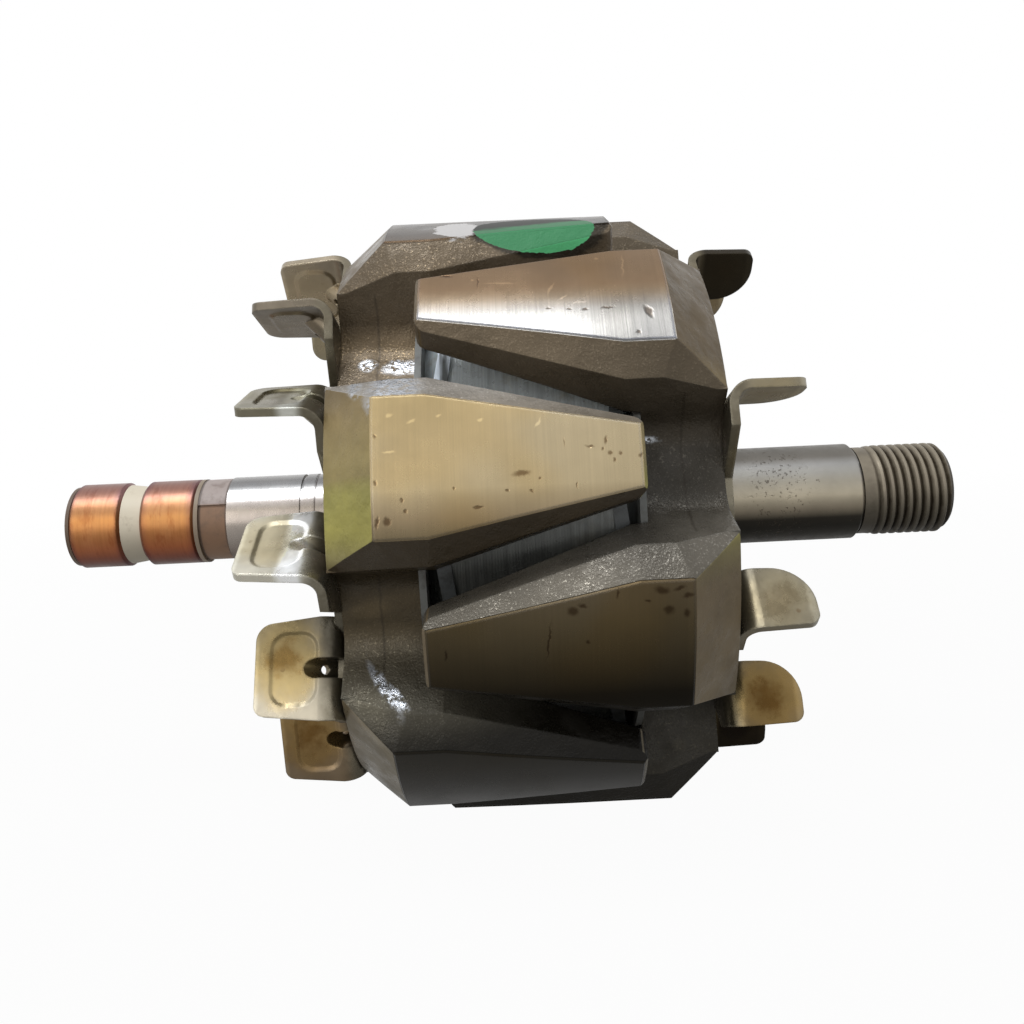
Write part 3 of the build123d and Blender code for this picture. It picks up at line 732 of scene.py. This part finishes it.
# Painted highlight: a near-white band on the rear seat from 133 to 144 degrees.
rear_steel_light_shade = steel.ramp(
    turn,
    0,
    360,
    (
        (0, (0.5, 0.46, 0.43)),
        (90, (0.4, 0.39, 0.385)),
        (100, (0.34, 0.335, 0.33)),
        (112, (0.24, 0.235, 0.235)),
        (122, (0.28, 0.28, 0.285)),
        (128, (0.5, 0.5, 0.505)),
        (133, (0.85, 0.85, 0.86)),
        (144, (0.85, 0.84, 0.84)),
        (150, (0.52, 0.47, 0.44)),
        (160, (0.39, 0.34, 0.29)),
        (170, (0.48, 0.42, 0.37)),
        (195, (0.43, 0.38, 0.34)),
        (225, (0.22, 0.18, 0.155)),
        (280, (0.3, 0.26, 0.23)),
        (360, (0.5, 0.46, 0.43)),
    ),
)
colour = steel.mix(rear, front_steel_light_shade, rear_steel_light_shade)
colour = steel.shade(colour, steel.step(cloud, 0.25, 0.75, 0.84, 1.14))
rust_place = steel.times(
    steel.band(steel.x, rust_start, rust_end, 2.5 * mm),
    steel.step(cloud, 0.4, 0.55),
)
pits = steel.times(steel.step(steel.noise(1500, 3, 0.7), 0.57, 0.67), rust_place)
few = steel.times(steel.step(steel.noise(700, 3, 0.6), 0.7, 0.73), steel.outside(rear))
pits = steel.math("MAXIMUM", pits, few)
colour = steel.mix(steel.times(pits, 0.65), colour, (0.06, 0.045, 0.03))
rusty_band = steel.band(steel.x, collar_rear, collar_front, 0.3 * mm)
rusty_band = steel.times(rusty_band, steel.step(fine, 0.3, 0.55))
colour = steel.mix(rusty_band, colour, (0.22, 0.12, 0.075))
groove_line = steel.band(steel.x, seat_groove, seat_groove + groove_width, 0.06 * mm)
colour = steel.mix(steel.times(groove_line, 0.8), colour, (0.05, 0.035, 0.028))
ground = steel.noise(1, 2, 0.6, (6500, 15, 15))
front_rough = steel.step(fine, 0.3, 0.7, 0.34, 0.46)
rear_rough = steel.step(fine, 0.3, 0.7, 0.24, 0.32)
shaft_steel = steel.set(
    colour=colour,
    metal=0.75,
    rough=steel.blend(rear, front_rough, rear_rough),
    normal=steel.bump(pits, -0.06 * mm, steel.bump(ground, 0.006 * mm)),
    specular=0.3,
)
wear(shaft_steel, "shaft", "pole_core")
print("shaft dressed")

# %% [markdown]
# ## Drive thread
# The solid has a plain cylinder where the thread is. The real one is a cut M16 thread with
# 1.5 mm pitch. One pitch of its outline is turned and moved along by a Screw modifier, the
# ends are cut flat, and the crests are pressed down to the chamfer at the end and to the
# run-out at the journal, which stands nearly as high as the thread in the photograph. The
# rest of the shaft is a copy of the solid that stops where this piece starts.

# %% Copy the shaft up to the thread
thread_start = 28.75 * mm
thread_end = 44.5 * mm
run_out_radius = 7.75 * mm
run_out_end = 30.6 * mm
run_out_fade = 1.6 * mm
pitch = 1.5 * mm
crest_radius = 8.0 * mm
root_radius = 7.25 * mm
chamfer_radius = 6.9 * mm


def only(piece):
    """Selects one object and makes it the active one."""
    bpy.ops.object.select_all(action="DESELECT")
    piece.select_set(True)
    bpy.context.view_layer.objects.active = piece


def cut_flat(piece, x, keep_front):
    """Cuts a piece straight across the shaft and closes the cut."""
    only(piece)
    bpy.ops.object.mode_set(mode="EDIT")
    bpy.ops.mesh.select_all(action="SELECT")
    bpy.ops.mesh.bisect(
        plane_co=(x, 0, 0),
        plane_no=(1, 0, 0),
        use_fill=True,
        clear_inner=keep_front,
        clear_outer=not keep_front,
        threshold=0.001 * mm,
    )
    bpy.ops.object.mode_set(mode="OBJECT")


body = nodes["shaft"].copy()
body.data = nodes["shaft"].data.copy()
body.name = "turned_shaft"
scene.collection.objects.link(body)
only(body)
bpy.ops.object.mode_set(mode="EDIT")
bpy.ops.mesh.select_all(action="SELECT")
bpy.ops.mesh.remove_doubles(threshold=0.002 * mm)
bpy.ops.mesh.dissolve_limited(angle_limit=math.radians(1))
bpy.ops.object.mode_set(mode="OBJECT")
cut_flat(body, thread_start, False)
bpy.ops.object.shade_smooth_by_angle(angle=math.radians(28))
even = body.modifiers.new("even", "WEIGHTED_NORMAL")
even.keep_sharp = True
bpy.ops.object.modifier_apply(modifier="even")
print("turned shaft", len(body.data.vertices), "points")

# %% Wind the thread
turns = 13
outline = (
    (0.0, root_radius),
    (0.26 * pitch, crest_radius - 0.08 * mm),
    (0.33 * pitch, crest_radius),
    (0.6 * pitch, crest_radius),
    (0.67 * pitch, crest_radius - 0.08 * mm),
    (0.93 * pitch, root_radius),
    (pitch, root_radius),
)
points = [(thread_start - 1.5 * pitch + x, 0.0, height) for x, height in outline]
edges = [(index, index + 1) for index in range(len(points) - 1)]
thread_mesh = bpy.data.meshes.new("drive_thread")
thread_mesh.from_pydata(points, edges, [])
thread = bpy.data.objects.new("drive_thread", thread_mesh)
scene.collection.objects.link(thread)
only(thread)
screw = thread.modifiers.new("wind", "SCREW")
screw.axis = "X"
screw.angle = 2 * math.pi
screw.screw_offset = pitch
screw.iterations = turns
screw.steps = 64
screw.render_steps = 64
screw.use_merge_vertices = True
screw.merge_threshold = 0.002 * mm
bpy.ops.object.modifier_apply(modifier="wind")
bpy.ops.object.mode_set(mode="EDIT")
bpy.ops.mesh.select_all(action="SELECT")
bpy.ops.mesh.remove_doubles(threshold=0.002 * mm)
bpy.ops.object.mode_set(mode="OBJECT")
cut_flat(thread, thread_start, True)
cut_flat(thread, thread_end, False)
for vertex in thread.data.vertices:
    x, y, z = vertex.co
    away = math.hypot(y, z)
    share = min(max((x - run_out_end) / run_out_fade, 0.0), 1.0)
    wanted = run_out_radius + (away - run_out_radius) * share
    wanted = min(wanted, chamfer_radius + thread_end - x)
    vertex.co = (x, y * wanted / away, z * wanted / away)
print("thread", len(thread.data.vertices), "points")

# %% Drill the turning centre
only(thread)
bpy.ops.object.mode_set(mode="EDIT")
bpy.ops.mesh.select_all(action="DESELECT")
bpy.ops.object.mode_set(mode="OBJECT")
end_face = max(thread.data.polygons, key=lambda face: face.center.x)
end_face.select = True
bpy.ops.object.mode_set(mode="EDIT")
hole = 2.5 * mm
cone_depth = 2.165 * mm
pilot_depth = 2.8 * mm
for depth, size in ((0.0, hole / chamfer_radius), (cone_depth, 0.5), (pilot_depth, 1.0)):
    bpy.ops.mesh.extrude_region_move(TRANSFORM_OT_translate={"value": (-depth, 0, 0)})
    bpy.ops.transform.resize(value=(1, size, size), center_override=(0, 0, 0))
bpy.ops.mesh.select_all(action="SELECT")
bpy.ops.mesh.remove_doubles(threshold=0.002 * mm)
bpy.ops.mesh.normals_make_consistent(inside=False)
bpy.ops.object.mode_set(mode="OBJECT")
bpy.ops.object.shade_smooth_by_angle(angle=math.radians(28))
for piece in (body, thread):
    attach(piece, "root")
    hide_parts("shaft")
print("end drilled")

# %% [markdown]
# The thread is dark brown in its grooves and dull grey on its crests, so its colour follows
# the distance from the axis. Its faces that look down are painted darker as shade.

# %% Finish of the thread
cut = Finish("thread_steel")
radius = cut.radius()
dirt = cut.noise(420, 4, 0.65)
height = cut.math("MULTIPLY_ADD", dirt, 0.5 * mm, radius)
colour = cut.mix(cut.step(height, 7.6 * mm, 8.2 * mm), (0.06, 0.047, 0.03), (0.27, 0.235, 0.18))
# Painted shade: darker on the faces that look down.
colour = cut.shade(colour, cut.step(cut.facing_z, -0.7, 0.3, 0.3, 1.0))
thread_steel = cut.set(
    colour=colour,
    metal=0.6,
    rough=cut.step(dirt, 0.3, 0.7, 0.38, 0.6),
    normal=cut.bump(dirt, 0.04 * mm),
    specular=0.3,
)
thread.data.materials.clear()
thread.data.materials.append(thread_steel)
body.data.materials.clear()
body.data.materials.append(shaft_steel)
print("thread dressed")

# %% [markdown]
# ## Fans
# The fans are pressed from plated sheet. The plating has gone dull, with golden-yellow stains
# in the blades' middles, which turn brown on the lower blades, and with paler rims where it
# is rubbed. The blade tones round the shaft mix these stains with painted light and shade.
# The bends of the upper rear blades have a painted highlight, and both discs are painted one
# even darker tone as the shade of the poles.

# %% Finish of the fans
blade_root = 28.3 * mm
stain_reach = 8.4
stain_radius = 39.0
stain_half_reach = 4.8
stain_half_width = 4.5
front_nearer_root = 2.2
front_further_out = 1.6
plate = Finish("fan_steel")
turn = plate.turn()
radius = plate.radius()
cloud = plate.noise(90, 4, 0.6)
smear = plate.noise(240, 5, 0.65)
# Blade tones round the shaft: stains together with painted light and shade.
rear_blade_stain_light_shade = plate.ramp(
    turn,
    0,
    360,
    (
        (0, (0.3, 0.27, 0.19)),
        (60, (0.25, 0.22, 0.16)),
        (92, (0.4, 0.34, 0.25)),
        (112, (0.19, 0.155, 0.115)),
        (132, (0.18, 0.155, 0.118)),
        (140, (0.18, 0.165, 0.11)),
        (160, (0.22, 0.2, 0.15)),
        (170, (0.52, 0.5, 0.43)),
        (186, (0.58, 0.55, 0.46)),
        (196, (0.33, 0.3, 0.235)),
        (216, (0.3, 0.27, 0.21)),
        (226, (0.28, 0.22, 0.145)),
        (245, (0.2, 0.145, 0.09)),
        (270, (0.12, 0.095, 0.06)),
        (310, (0.28, 0.23, 0.14)),
        (360, (0.3, 0.27, 0.19)),
    ),
)
front_blade_stain_light_shade = plate.ramp(
    turn,
    0,
    360,
    (
        (0, (0.3, 0.27, 0.2)),
        (60, (0.24, 0.2, 0.14)),
        (88, (0.03, 0.025, 0.017)),
        (112, (0.02, 0.016, 0.01)),
        (128, (0.12, 0.1, 0.07)),
        (142, (0.25, 0.225, 0.17)),
        (160, (0.25, 0.225, 0.17)),
        (182, (0.2, 0.19, 0.16)),
        (204, (0.2, 0.185, 0.15)),
        (212, (0.21, 0.17, 0.11)),
        (228, (0.18, 0.135, 0.075)),
        (242, (0.02, 0.014, 0.007)),
        (266, (0.012, 0.009, 0.005)),
        (300, (0.14, 0.105, 0.06)),
        (360, (0.3, 0.27, 0.2)),
    ),
)
front = plate.step(plate.x, -40 * mm, -20 * mm)
colour = plate.mix(front, rear_blade_stain_light_shade, front_blade_stain_light_shade)
off_middle = plate.math("ABSOLUTE", plate.math("SUBTRACT", plate.x, rotor_middle))
reach = plate.math("SUBTRACT", off_middle, blade_root)
# Painted shade: the discs get one even darker tone.
shaded_disc = plate.step(reach, 1.3 * mm, 3.6 * mm, 0.9, 0.0)
colour = plate.mix(shaded_disc, colour, (0.19, 0.17, 0.125))
colour = plate.shade(colour, plate.step(cloud, 0.25, 0.75, 0.8, 1.2))
along = plate.math(
    "MULTIPLY_ADD", reach, 1 / (stain_half_reach * mm), -stain_reach / stain_half_reach
)
along = plate.math("MULTIPLY_ADD", front, front_nearer_root / stain_half_reach, along)
across = plate.math(
    "MULTIPLY_ADD", radius, 1 / (stain_half_width * mm), -stain_radius / stain_half_width
)
across = plate.math("MULTIPLY_ADD", front, -front_further_out / stain_half_width, across)
distance = plate.math("MULTIPLY_ADD", along, along, plate.math("MULTIPLY", across, across))
ragged = plate.math("MULTIPLY_ADD", smear, 1.6, distance)
rear_share = plate.step(turn, 160, 205, 0.25, 0.85)
front_share = plate.step(turn, 203, 212, 0.45, 0.85)
stain_share = plate.blend(front, rear_share, front_share)
stain = plate.times(plate.step(ragged, 1.1, 2.8, 1.0, 0.0), stain_share)
colour = plate.mix(stain, colour, plate.tint(colour, (1.12, 0.92, 0.48)))
rear_share = plate.step(turn, 194, 204, 0.0, 0.85)
front_share = plate.step(turn, 198, 216, 0.35, 0.9)
core_share = plate.blend(front, rear_share, front_share)
core = plate.times(plate.step(ragged, 0.7, 1.25, 1.0, 0.0), core_share)
colour = plate.mix(core, colour, plate.tint(colour, (0.5, 0.38, 0.2)))
outer = plate.times(plate.band(turn, 193, 219, 3), plate.outside(front))
outwards = plate.step(radius, 35 * mm, 45.5 * mm, 0.6, 1.5)
colour = plate.shade(colour, plate.blend(outer, 1.0, outwards))
# Painted highlight on the bends of the upper rear blades.
bend_highlight = plate.times(plate.band(reach, 3.4 * mm, 6.3 * mm, 0.9 * mm), plate.band(turn, 139, 184, 5))
bend_highlight = plate.times(bend_highlight, plate.outside(front), plate.step(smear, 0.3, 0.6, 0.5, 1.0))
colour = plate.mix(bend_highlight, colour, plate.tint(colour, (2.8, 3.1, 3.9)))
soft_normal, edges = plate.soft_edges(0.4 * mm)
rim = plate.math("MULTIPLY_ADD", front, 1.9 * mm, plate.math("MULTIPLY_ADD", smear, 1.2 * mm, reach))
rim = plate.step(rim, 12.5 * mm, 13.2 * mm)
rubbed = plate.math("MAXIMUM", plate.times(rim, 0.6), plate.times(edges, 0.7))
colour = plate.mix(rubbed, colour, plate.tint(colour, (1.7, 1.75, 1.8)))
grime = plate.times(plate.step(reach, 1.5 * mm, 4.5 * mm, 1.0, 0.0), plate.step(smear, 0.4, 0.6))
colour = plate.mix(plate.times(grime, 0.5), colour, plate.tint(colour, (0.4, 0.36, 0.3)))
rust = plate.times(plate.spots(260, 0.12), plate.step(smear, 0.5, 0.6))
colour = plate.mix(plate.times(rust, 0.5), colour, (0.11, 0.06, 0.025))
fan_steel = plate.set(
    colour=colour,
    metal=0.8,
    rough=plate.step(smear, 0.25, 0.75, 0.22, 0.4),
    normal=plate.bump(plate.noise(260, 3, 0.5), 0.09 * mm, soft_normal),
    specular=0.3,
)
wear(fan_steel, "rear_fan", "front_fan")
print("fans dressed")

# %% [markdown]
# ## Slip rings and leads
# The brushes have rubbed the copper bright in the middle of each ring and left a brown film
# near the edges.

# %% Finish of the copper
copper = Finish("ring_copper")
outer_middle = -104.8 * mm
inner_middle = -92.3 * mm
track = copper.math(
    "MINIMUM",
    copper.math("ABSOLUTE", copper.math("SUBTRACT", copper.x, outer_middle)),
    copper.math("ABSOLUTE", copper.math("SUBTRACT", copper.x, inner_middle)),
)
cloud = copper.noise(150, 4, 0.6)
bands = copper.noise(1, 3, 0.65, (2600, 30, 30))
edge = copper.step(copper.math("MULTIPLY_ADD", cloud, 1.2 * mm, track), 3.4 * mm, 4.8 * mm)
# Round the shaft the copper is painted lighter on the upper front as a highlight band, and darker
# below as shade.
colour = copper.ramp(
    copper.turn(),
    0,
    360,
    (
        (0, (0.34, 0.17, 0.11)),
        (60, (0.34, 0.18, 0.13)),
        (98, (0.25, 0.125, 0.1)),
        (120, (0.3, 0.15, 0.115)),
        (134, (0.42, 0.22, 0.15)),
        (148, (0.44, 0.215, 0.1)),
        (165, (0.47, 0.215, 0.07)),
        (188, (0.43, 0.17, 0.06)),
        (206, (0.36, 0.12, 0.05)),
        (222, (0.22, 0.075, 0.045)),
        (240, (0.13, 0.05, 0.035)),
        (300, (0.2, 0.09, 0.06)),
        (360, (0.34, 0.17, 0.11)),
    ),
)
colour = copper.mix(copper.times(edge, 0.6), colour, copper.tint(colour, (0.55, 0.5, 0.75)))
colour = copper.shade(colour, copper.step(bands, 0.3, 0.7, 0.93, 1.06))
streak = copper.noise(1, 4, 0.7, (420, 140, 140))
streaked = copper.tint(colour, (0.68, 0.5, 0.46))
colour = copper.mix(copper.step(streak, 0.5, 0.68, 0.0, 0.6), colour, streaked)
paler = copper.tint(colour, (1.15, 1.3, 1.5))
colour = copper.mix(copper.step(cloud, 0.42, 0.66, 0.0, 0.5), colour, paler)
soft_normal, edges = copper.soft_edges(0.4 * mm)
colour = copper.mix(copper.times(edges, 0.6), colour, copper.tint(colour, (0.4, 0.36, 0.4)))
ring_copper = copper.set(
    colour=colour,
    metal=0.85,
    rough=copper.step(cloud, 0.3, 0.7, 0.3, 0.44),
    normal=copper.bump(streak, 0.05 * mm, copper.bump(bands, 0.008 * mm, soft_normal)),
    specular=0.3,
)
wear(ring_copper, "slip_ring_outer", "slip_ring_inner")
wear(ring_copper, "lead_bar_outer", "lead_bar_inner", "lead_wire_outer", "lead_wire_inner")
print("copper dressed")

# %% [markdown]
# ## Plastic, tape and winding
# The carrier is cream moulding, the lead collar is a brown one, and the coil is a tight
# winding under dark varnish, with its wires showing as fine lines round it.

# %% Finish of the plastics and the coil
carrier_rear = -109.0 * mm
carrier_rim = -88.4 * mm
rim_fade = 0.4 * mm
lead_collar_rear = -86.5 * mm
lead_collar_front = -82.3 * mm
wire_pitch = 0.42 * mm
cream = Finish("carrier_plastic")
dirt = cream.noise(320, 5, 0.7)
colour = cream.mix(cream.step(dirt, 0.55, 0.85), (0.78, 0.7, 0.55), (0.4, 0.32, 0.22))
# Painted shade: darker on the faces that look down.
colour = cream.shade(colour, cream.step(cream.facing_z, -0.8, 0.2, 0.6, 1.0))
rear_end = cream.step(cream.x, carrier_rear, carrier_rear + rim_fade, 1.0, 0.0)
front_rim = cream.step(cream.x, carrier_rim, carrier_rim + rim_fade)
colour = cream.mix(front_rim, colour, (0.3, 0.235, 0.17))
colour = cream.mix(rear_end, colour, (0.13, 0.085, 0.055))
carrier_plastic = cream.set(
    colour=colour,
    rough=0.5,
    normal=cream.bump(dirt, 0.03 * mm),
)
wear(carrier_plastic, "slip_ring_carrier")

brown = Finish("collar_plastic")
dirt = brown.noise(380, 5, 0.7)
pad = brown.step(brown.turn(), 147, 152, 1.0, 0.0)
colour = brown.mix(pad, (0.27, 0.155, 0.09), (0.42, 0.35, 0.325))
ends = brown.outside(brown.band(brown.x, lead_collar_rear, lead_collar_front, 0.12 * mm))
colour = brown.mix(brown.times(ends, 0.7), colour, (0.05, 0.035, 0.025))
colour = brown.mix(brown.step(dirt, 0.45, 0.75, 0.0, 0.55), colour, (0.13, 0.085, 0.06))
ribs = brown.noise(1, 2, 0.5, (1400, 12, 12))
collar_plastic = brown.set(
    colour=colour,
    rough=0.5,
    normal=brown.bump(ribs, 0.05 * mm, brown.bump(dirt, 0.04 * mm)),
)
wear(collar_plastic, "lead_collar")

grey = Finish("bobbin_plastic")
dirt = grey.noise(240, 5, 0.7)
bobbin_plastic = grey.set(
    colour=grey.mix(grey.step(dirt, 0.4, 0.7), (0.16, 0.165, 0.155), (0.05, 0.042, 0.033)),
    rough=0.45,
    normal=grey.bump(dirt, 0.04 * mm),
)
wear(bobbin_plastic, "coil_bobbin")

coil = Finish("winding_varnish")
wire = coil.math("SINE", coil.math("MULTIPLY", coil.x, 2 * math.pi / wire_pitch))
dirt = coil.noise(150, 5, 0.65)
streak = coil.noise(1, 3, 0.6, (1300, 30, 30))
# Round the shaft the winding is painted near white on the upper front as a highlight, and dark below
# as shade.
colour = coil.ramp(
    coil.turn(),
    0,
    360,
    (
        (0, (0.16, 0.17, 0.17)),
        (100, (0.5, 0.55, 0.57)),
        (125, (0.84, 0.92, 0.96)),
        (152, (0.84, 0.91, 0.92)),
        (168, (0.24, 0.25, 0.24)),
        (182, (0.1, 0.103, 0.095)),
        (215, (0.05, 0.05, 0.043)),
        (260, (0.04, 0.04, 0.035)),
        (310, (0.1, 0.1, 0.095)),
        (360, (0.16, 0.17, 0.17)),
    ),
)
colour = coil.shade(colour, coil.step(streak, 0.3, 0.7, 0.78, 1.18))
dirty = coil.tint(colour, (0.62, 0.55, 0.45))
colour = coil.mix(coil.step(dirt, 0.5, 0.68, 0.0, 0.6), colour, dirty)
winding_varnish = coil.set(
    colour=colour,
    metal=0.35,
    rough=coil.step(dirt, 0.3, 0.7, 0.22, 0.4),
    normal=coil.bump(wire, 0.006 * mm, coil.bump(streak, 0.05 * mm)),
    specular=0.4,
)
wear(winding_varnish, "field_winding")

weave = Finish("tape_weave")
dirt = weave.noise(380, 5, 0.7)
colour = weave.mix(weave.step(dirt, 0.4, 0.7), (0.13, 0.14, 0.14), (0.05, 0.05, 0.045))
# Painted shade: darker on the faces that look down.
colour = weave.shade(colour, weave.step(weave.facing_z, -0.6, 0.5, 0.3, 1.0))
streak = weave.step(weave.noise(1, 2, 0.5, (700, 60, 60)), 0.42, 0.58)
# Painted highlight: pale metallic streaks on the tape beside the top claws.
painted_glint_streaks = weave.times(streak, weave.band(weave.turn(), 128, 147, 4))
colour = weave.mix(painted_glint_streaks, colour, (0.8, 0.88, 0.97))
tape_weave = weave.set(
    colour=colour,
    metal=weave.times(painted_glint_streaks, 0.5),
    rough=0.35,
    normal=weave.bump(dirt, 0.06 * mm),
)
wear(tape_weave, "rear_coil_tape", "front_coil_tape")
wear(tape_weave, "lead_sleeve_outer", "lead_sleeve_inner")
print("plastics dressed")

# %% [markdown]
# ## Floor and light
# The rotor lies on a pale floor under soft lamps. The floor and the world look white to the
# camera, and metal sees the same white, so the lamps can stay at a plain level.


# %% Build the floor
def white_to_camera(tree, shader, share, mirrored):
    """Mixes white into what the camera, mirrors and glass see of this shader."""
    path = tree.nodes.new("ShaderNodeLightPath")
    seen = tree.nodes.new("ShaderNodeMath")
    seen.operation = "MAXIMUM"
    tree.links.new(path.outputs["Is Camera Ray"], seen.inputs[0])
    tree.links.new(path.outputs["Is Transmission Ray"], seen.inputs[1])
    glossy = tree.nodes.new("ShaderNodeMath")
    glossy.operation = "MULTIPLY"
    tree.links.new(path.outputs["Is Glossy Ray"], glossy.inputs[0])
    glossy.inputs[1].default_value = mirrored
    either = tree.nodes.new("ShaderNodeMath")
    either.operation = "MAXIMUM"
    tree.links.new(seen.outputs[0], either.inputs[0])
    tree.links.new(glossy.outputs[0], either.inputs[1])
    scaled = tree.nodes.new("ShaderNodeMath")
    scaled.operation = "MULTIPLY"
    tree.links.new(either.outputs[0], scaled.inputs[0])
    if isinstance(share, bpy.types.NodeSocket):
        tree.links.new(share, scaled.inputs[1])
    else:
        scaled.inputs[1].default_value = share
    white = tree.nodes.new("ShaderNodeEmission")
    white.inputs["Strength"].default_value = 1.0
    mixed = tree.nodes.new("ShaderNodeMixShader")
    tree.links.new(scaled.outputs[0], mixed.inputs[0])
    tree.links.new(shader, mixed.inputs[1])
    tree.links.new(white.outputs[0], mixed.inputs[2])
    return mixed.outputs[0]


floor_level = cad_box[0][2]
bpy.ops.object.select_all(action="DESELECT")
bpy.ops.mesh.primitive_plane_add(size=12, location=(0, 0, floor_level))
floor = bpy.context.object
floor.name = "floor"
floor_paint = bpy.data.materials.new("floor_paint")
floor_paint.use_nodes = True
tree = floor_paint.node_tree
paint = tree.nodes["Principled BSDF"]
paint.inputs["Base Color"].default_value = (0.45, 0.44, 0.42, 1)
paint.inputs["Roughness"].default_value = 0.9
paint.inputs["Specular IOR Level"].default_value = 0.0
place = tree.nodes.new("ShaderNodeTexCoord")
away = tree.nodes.new("ShaderNodeVectorMath")
away.operation = "LENGTH"
tree.links.new(place.outputs["Object"], away.inputs[0])
clear = tree.nodes.new("ShaderNodeMapRange")
tree.links.new(away.outputs["Value"], clear.inputs["Value"])
clear.inputs["From Min"].default_value = 0.1
clear.inputs["From Max"].default_value = 0.5
clear.inputs["To Min"].default_value = 0.965
clear.inputs["To Max"].default_value = 1.0
tree.links.new(
    white_to_camera(tree, paint.outputs[0], clear.outputs["Result"], 0.3),
    tree.nodes["Material Output"].inputs["Surface"],
)
floor.data.materials.append(floor_paint)

world = bpy.data.worlds.new("studio")
scene.world = world
world.use_nodes = True
tree = world.node_tree
sky = tree.nodes["Background"]
sky.inputs["Color"].default_value = (0.95, 0.97, 1, 1)
sky.inputs["Strength"].default_value = 0.4
tree.links.new(
    white_to_camera(tree, sky.outputs[0], 1.0, 1.0),
    tree.nodes["World Output"].inputs["Surface"],
)
print("floor at", round(floor_level, 5))


# %% Hang the lamps
def lamp(name, place, target, width, depth, watts, colour):
    """A soft lamp that looks at the target."""
    data = bpy.data.lights.new(name, "AREA")
    data.shape = "RECTANGLE"
    data.size = width
    data.size_y = depth
    data.energy = watts
    data.color = colour
    made = bpy.data.objects.new(name, data)
    scene.collection.objects.link(made)
    made.location = place
    made.rotation_euler = (Vector(target) - Vector(place)).to_track_quat("-Z", "Y").to_euler()


middle = (-0.03, 0, 0)
lamp("key", (-0.19, -0.215, 0.72), (-0.12, 0, 0), 0.5, 0.3, 3.2, (0.96, 0.98, 1))
lamp("fill", (-0.55, -0.7, 0.2), middle, 0.6, 0.6, 1.6, (1, 0.97, 0.93))
print("lamps hung")
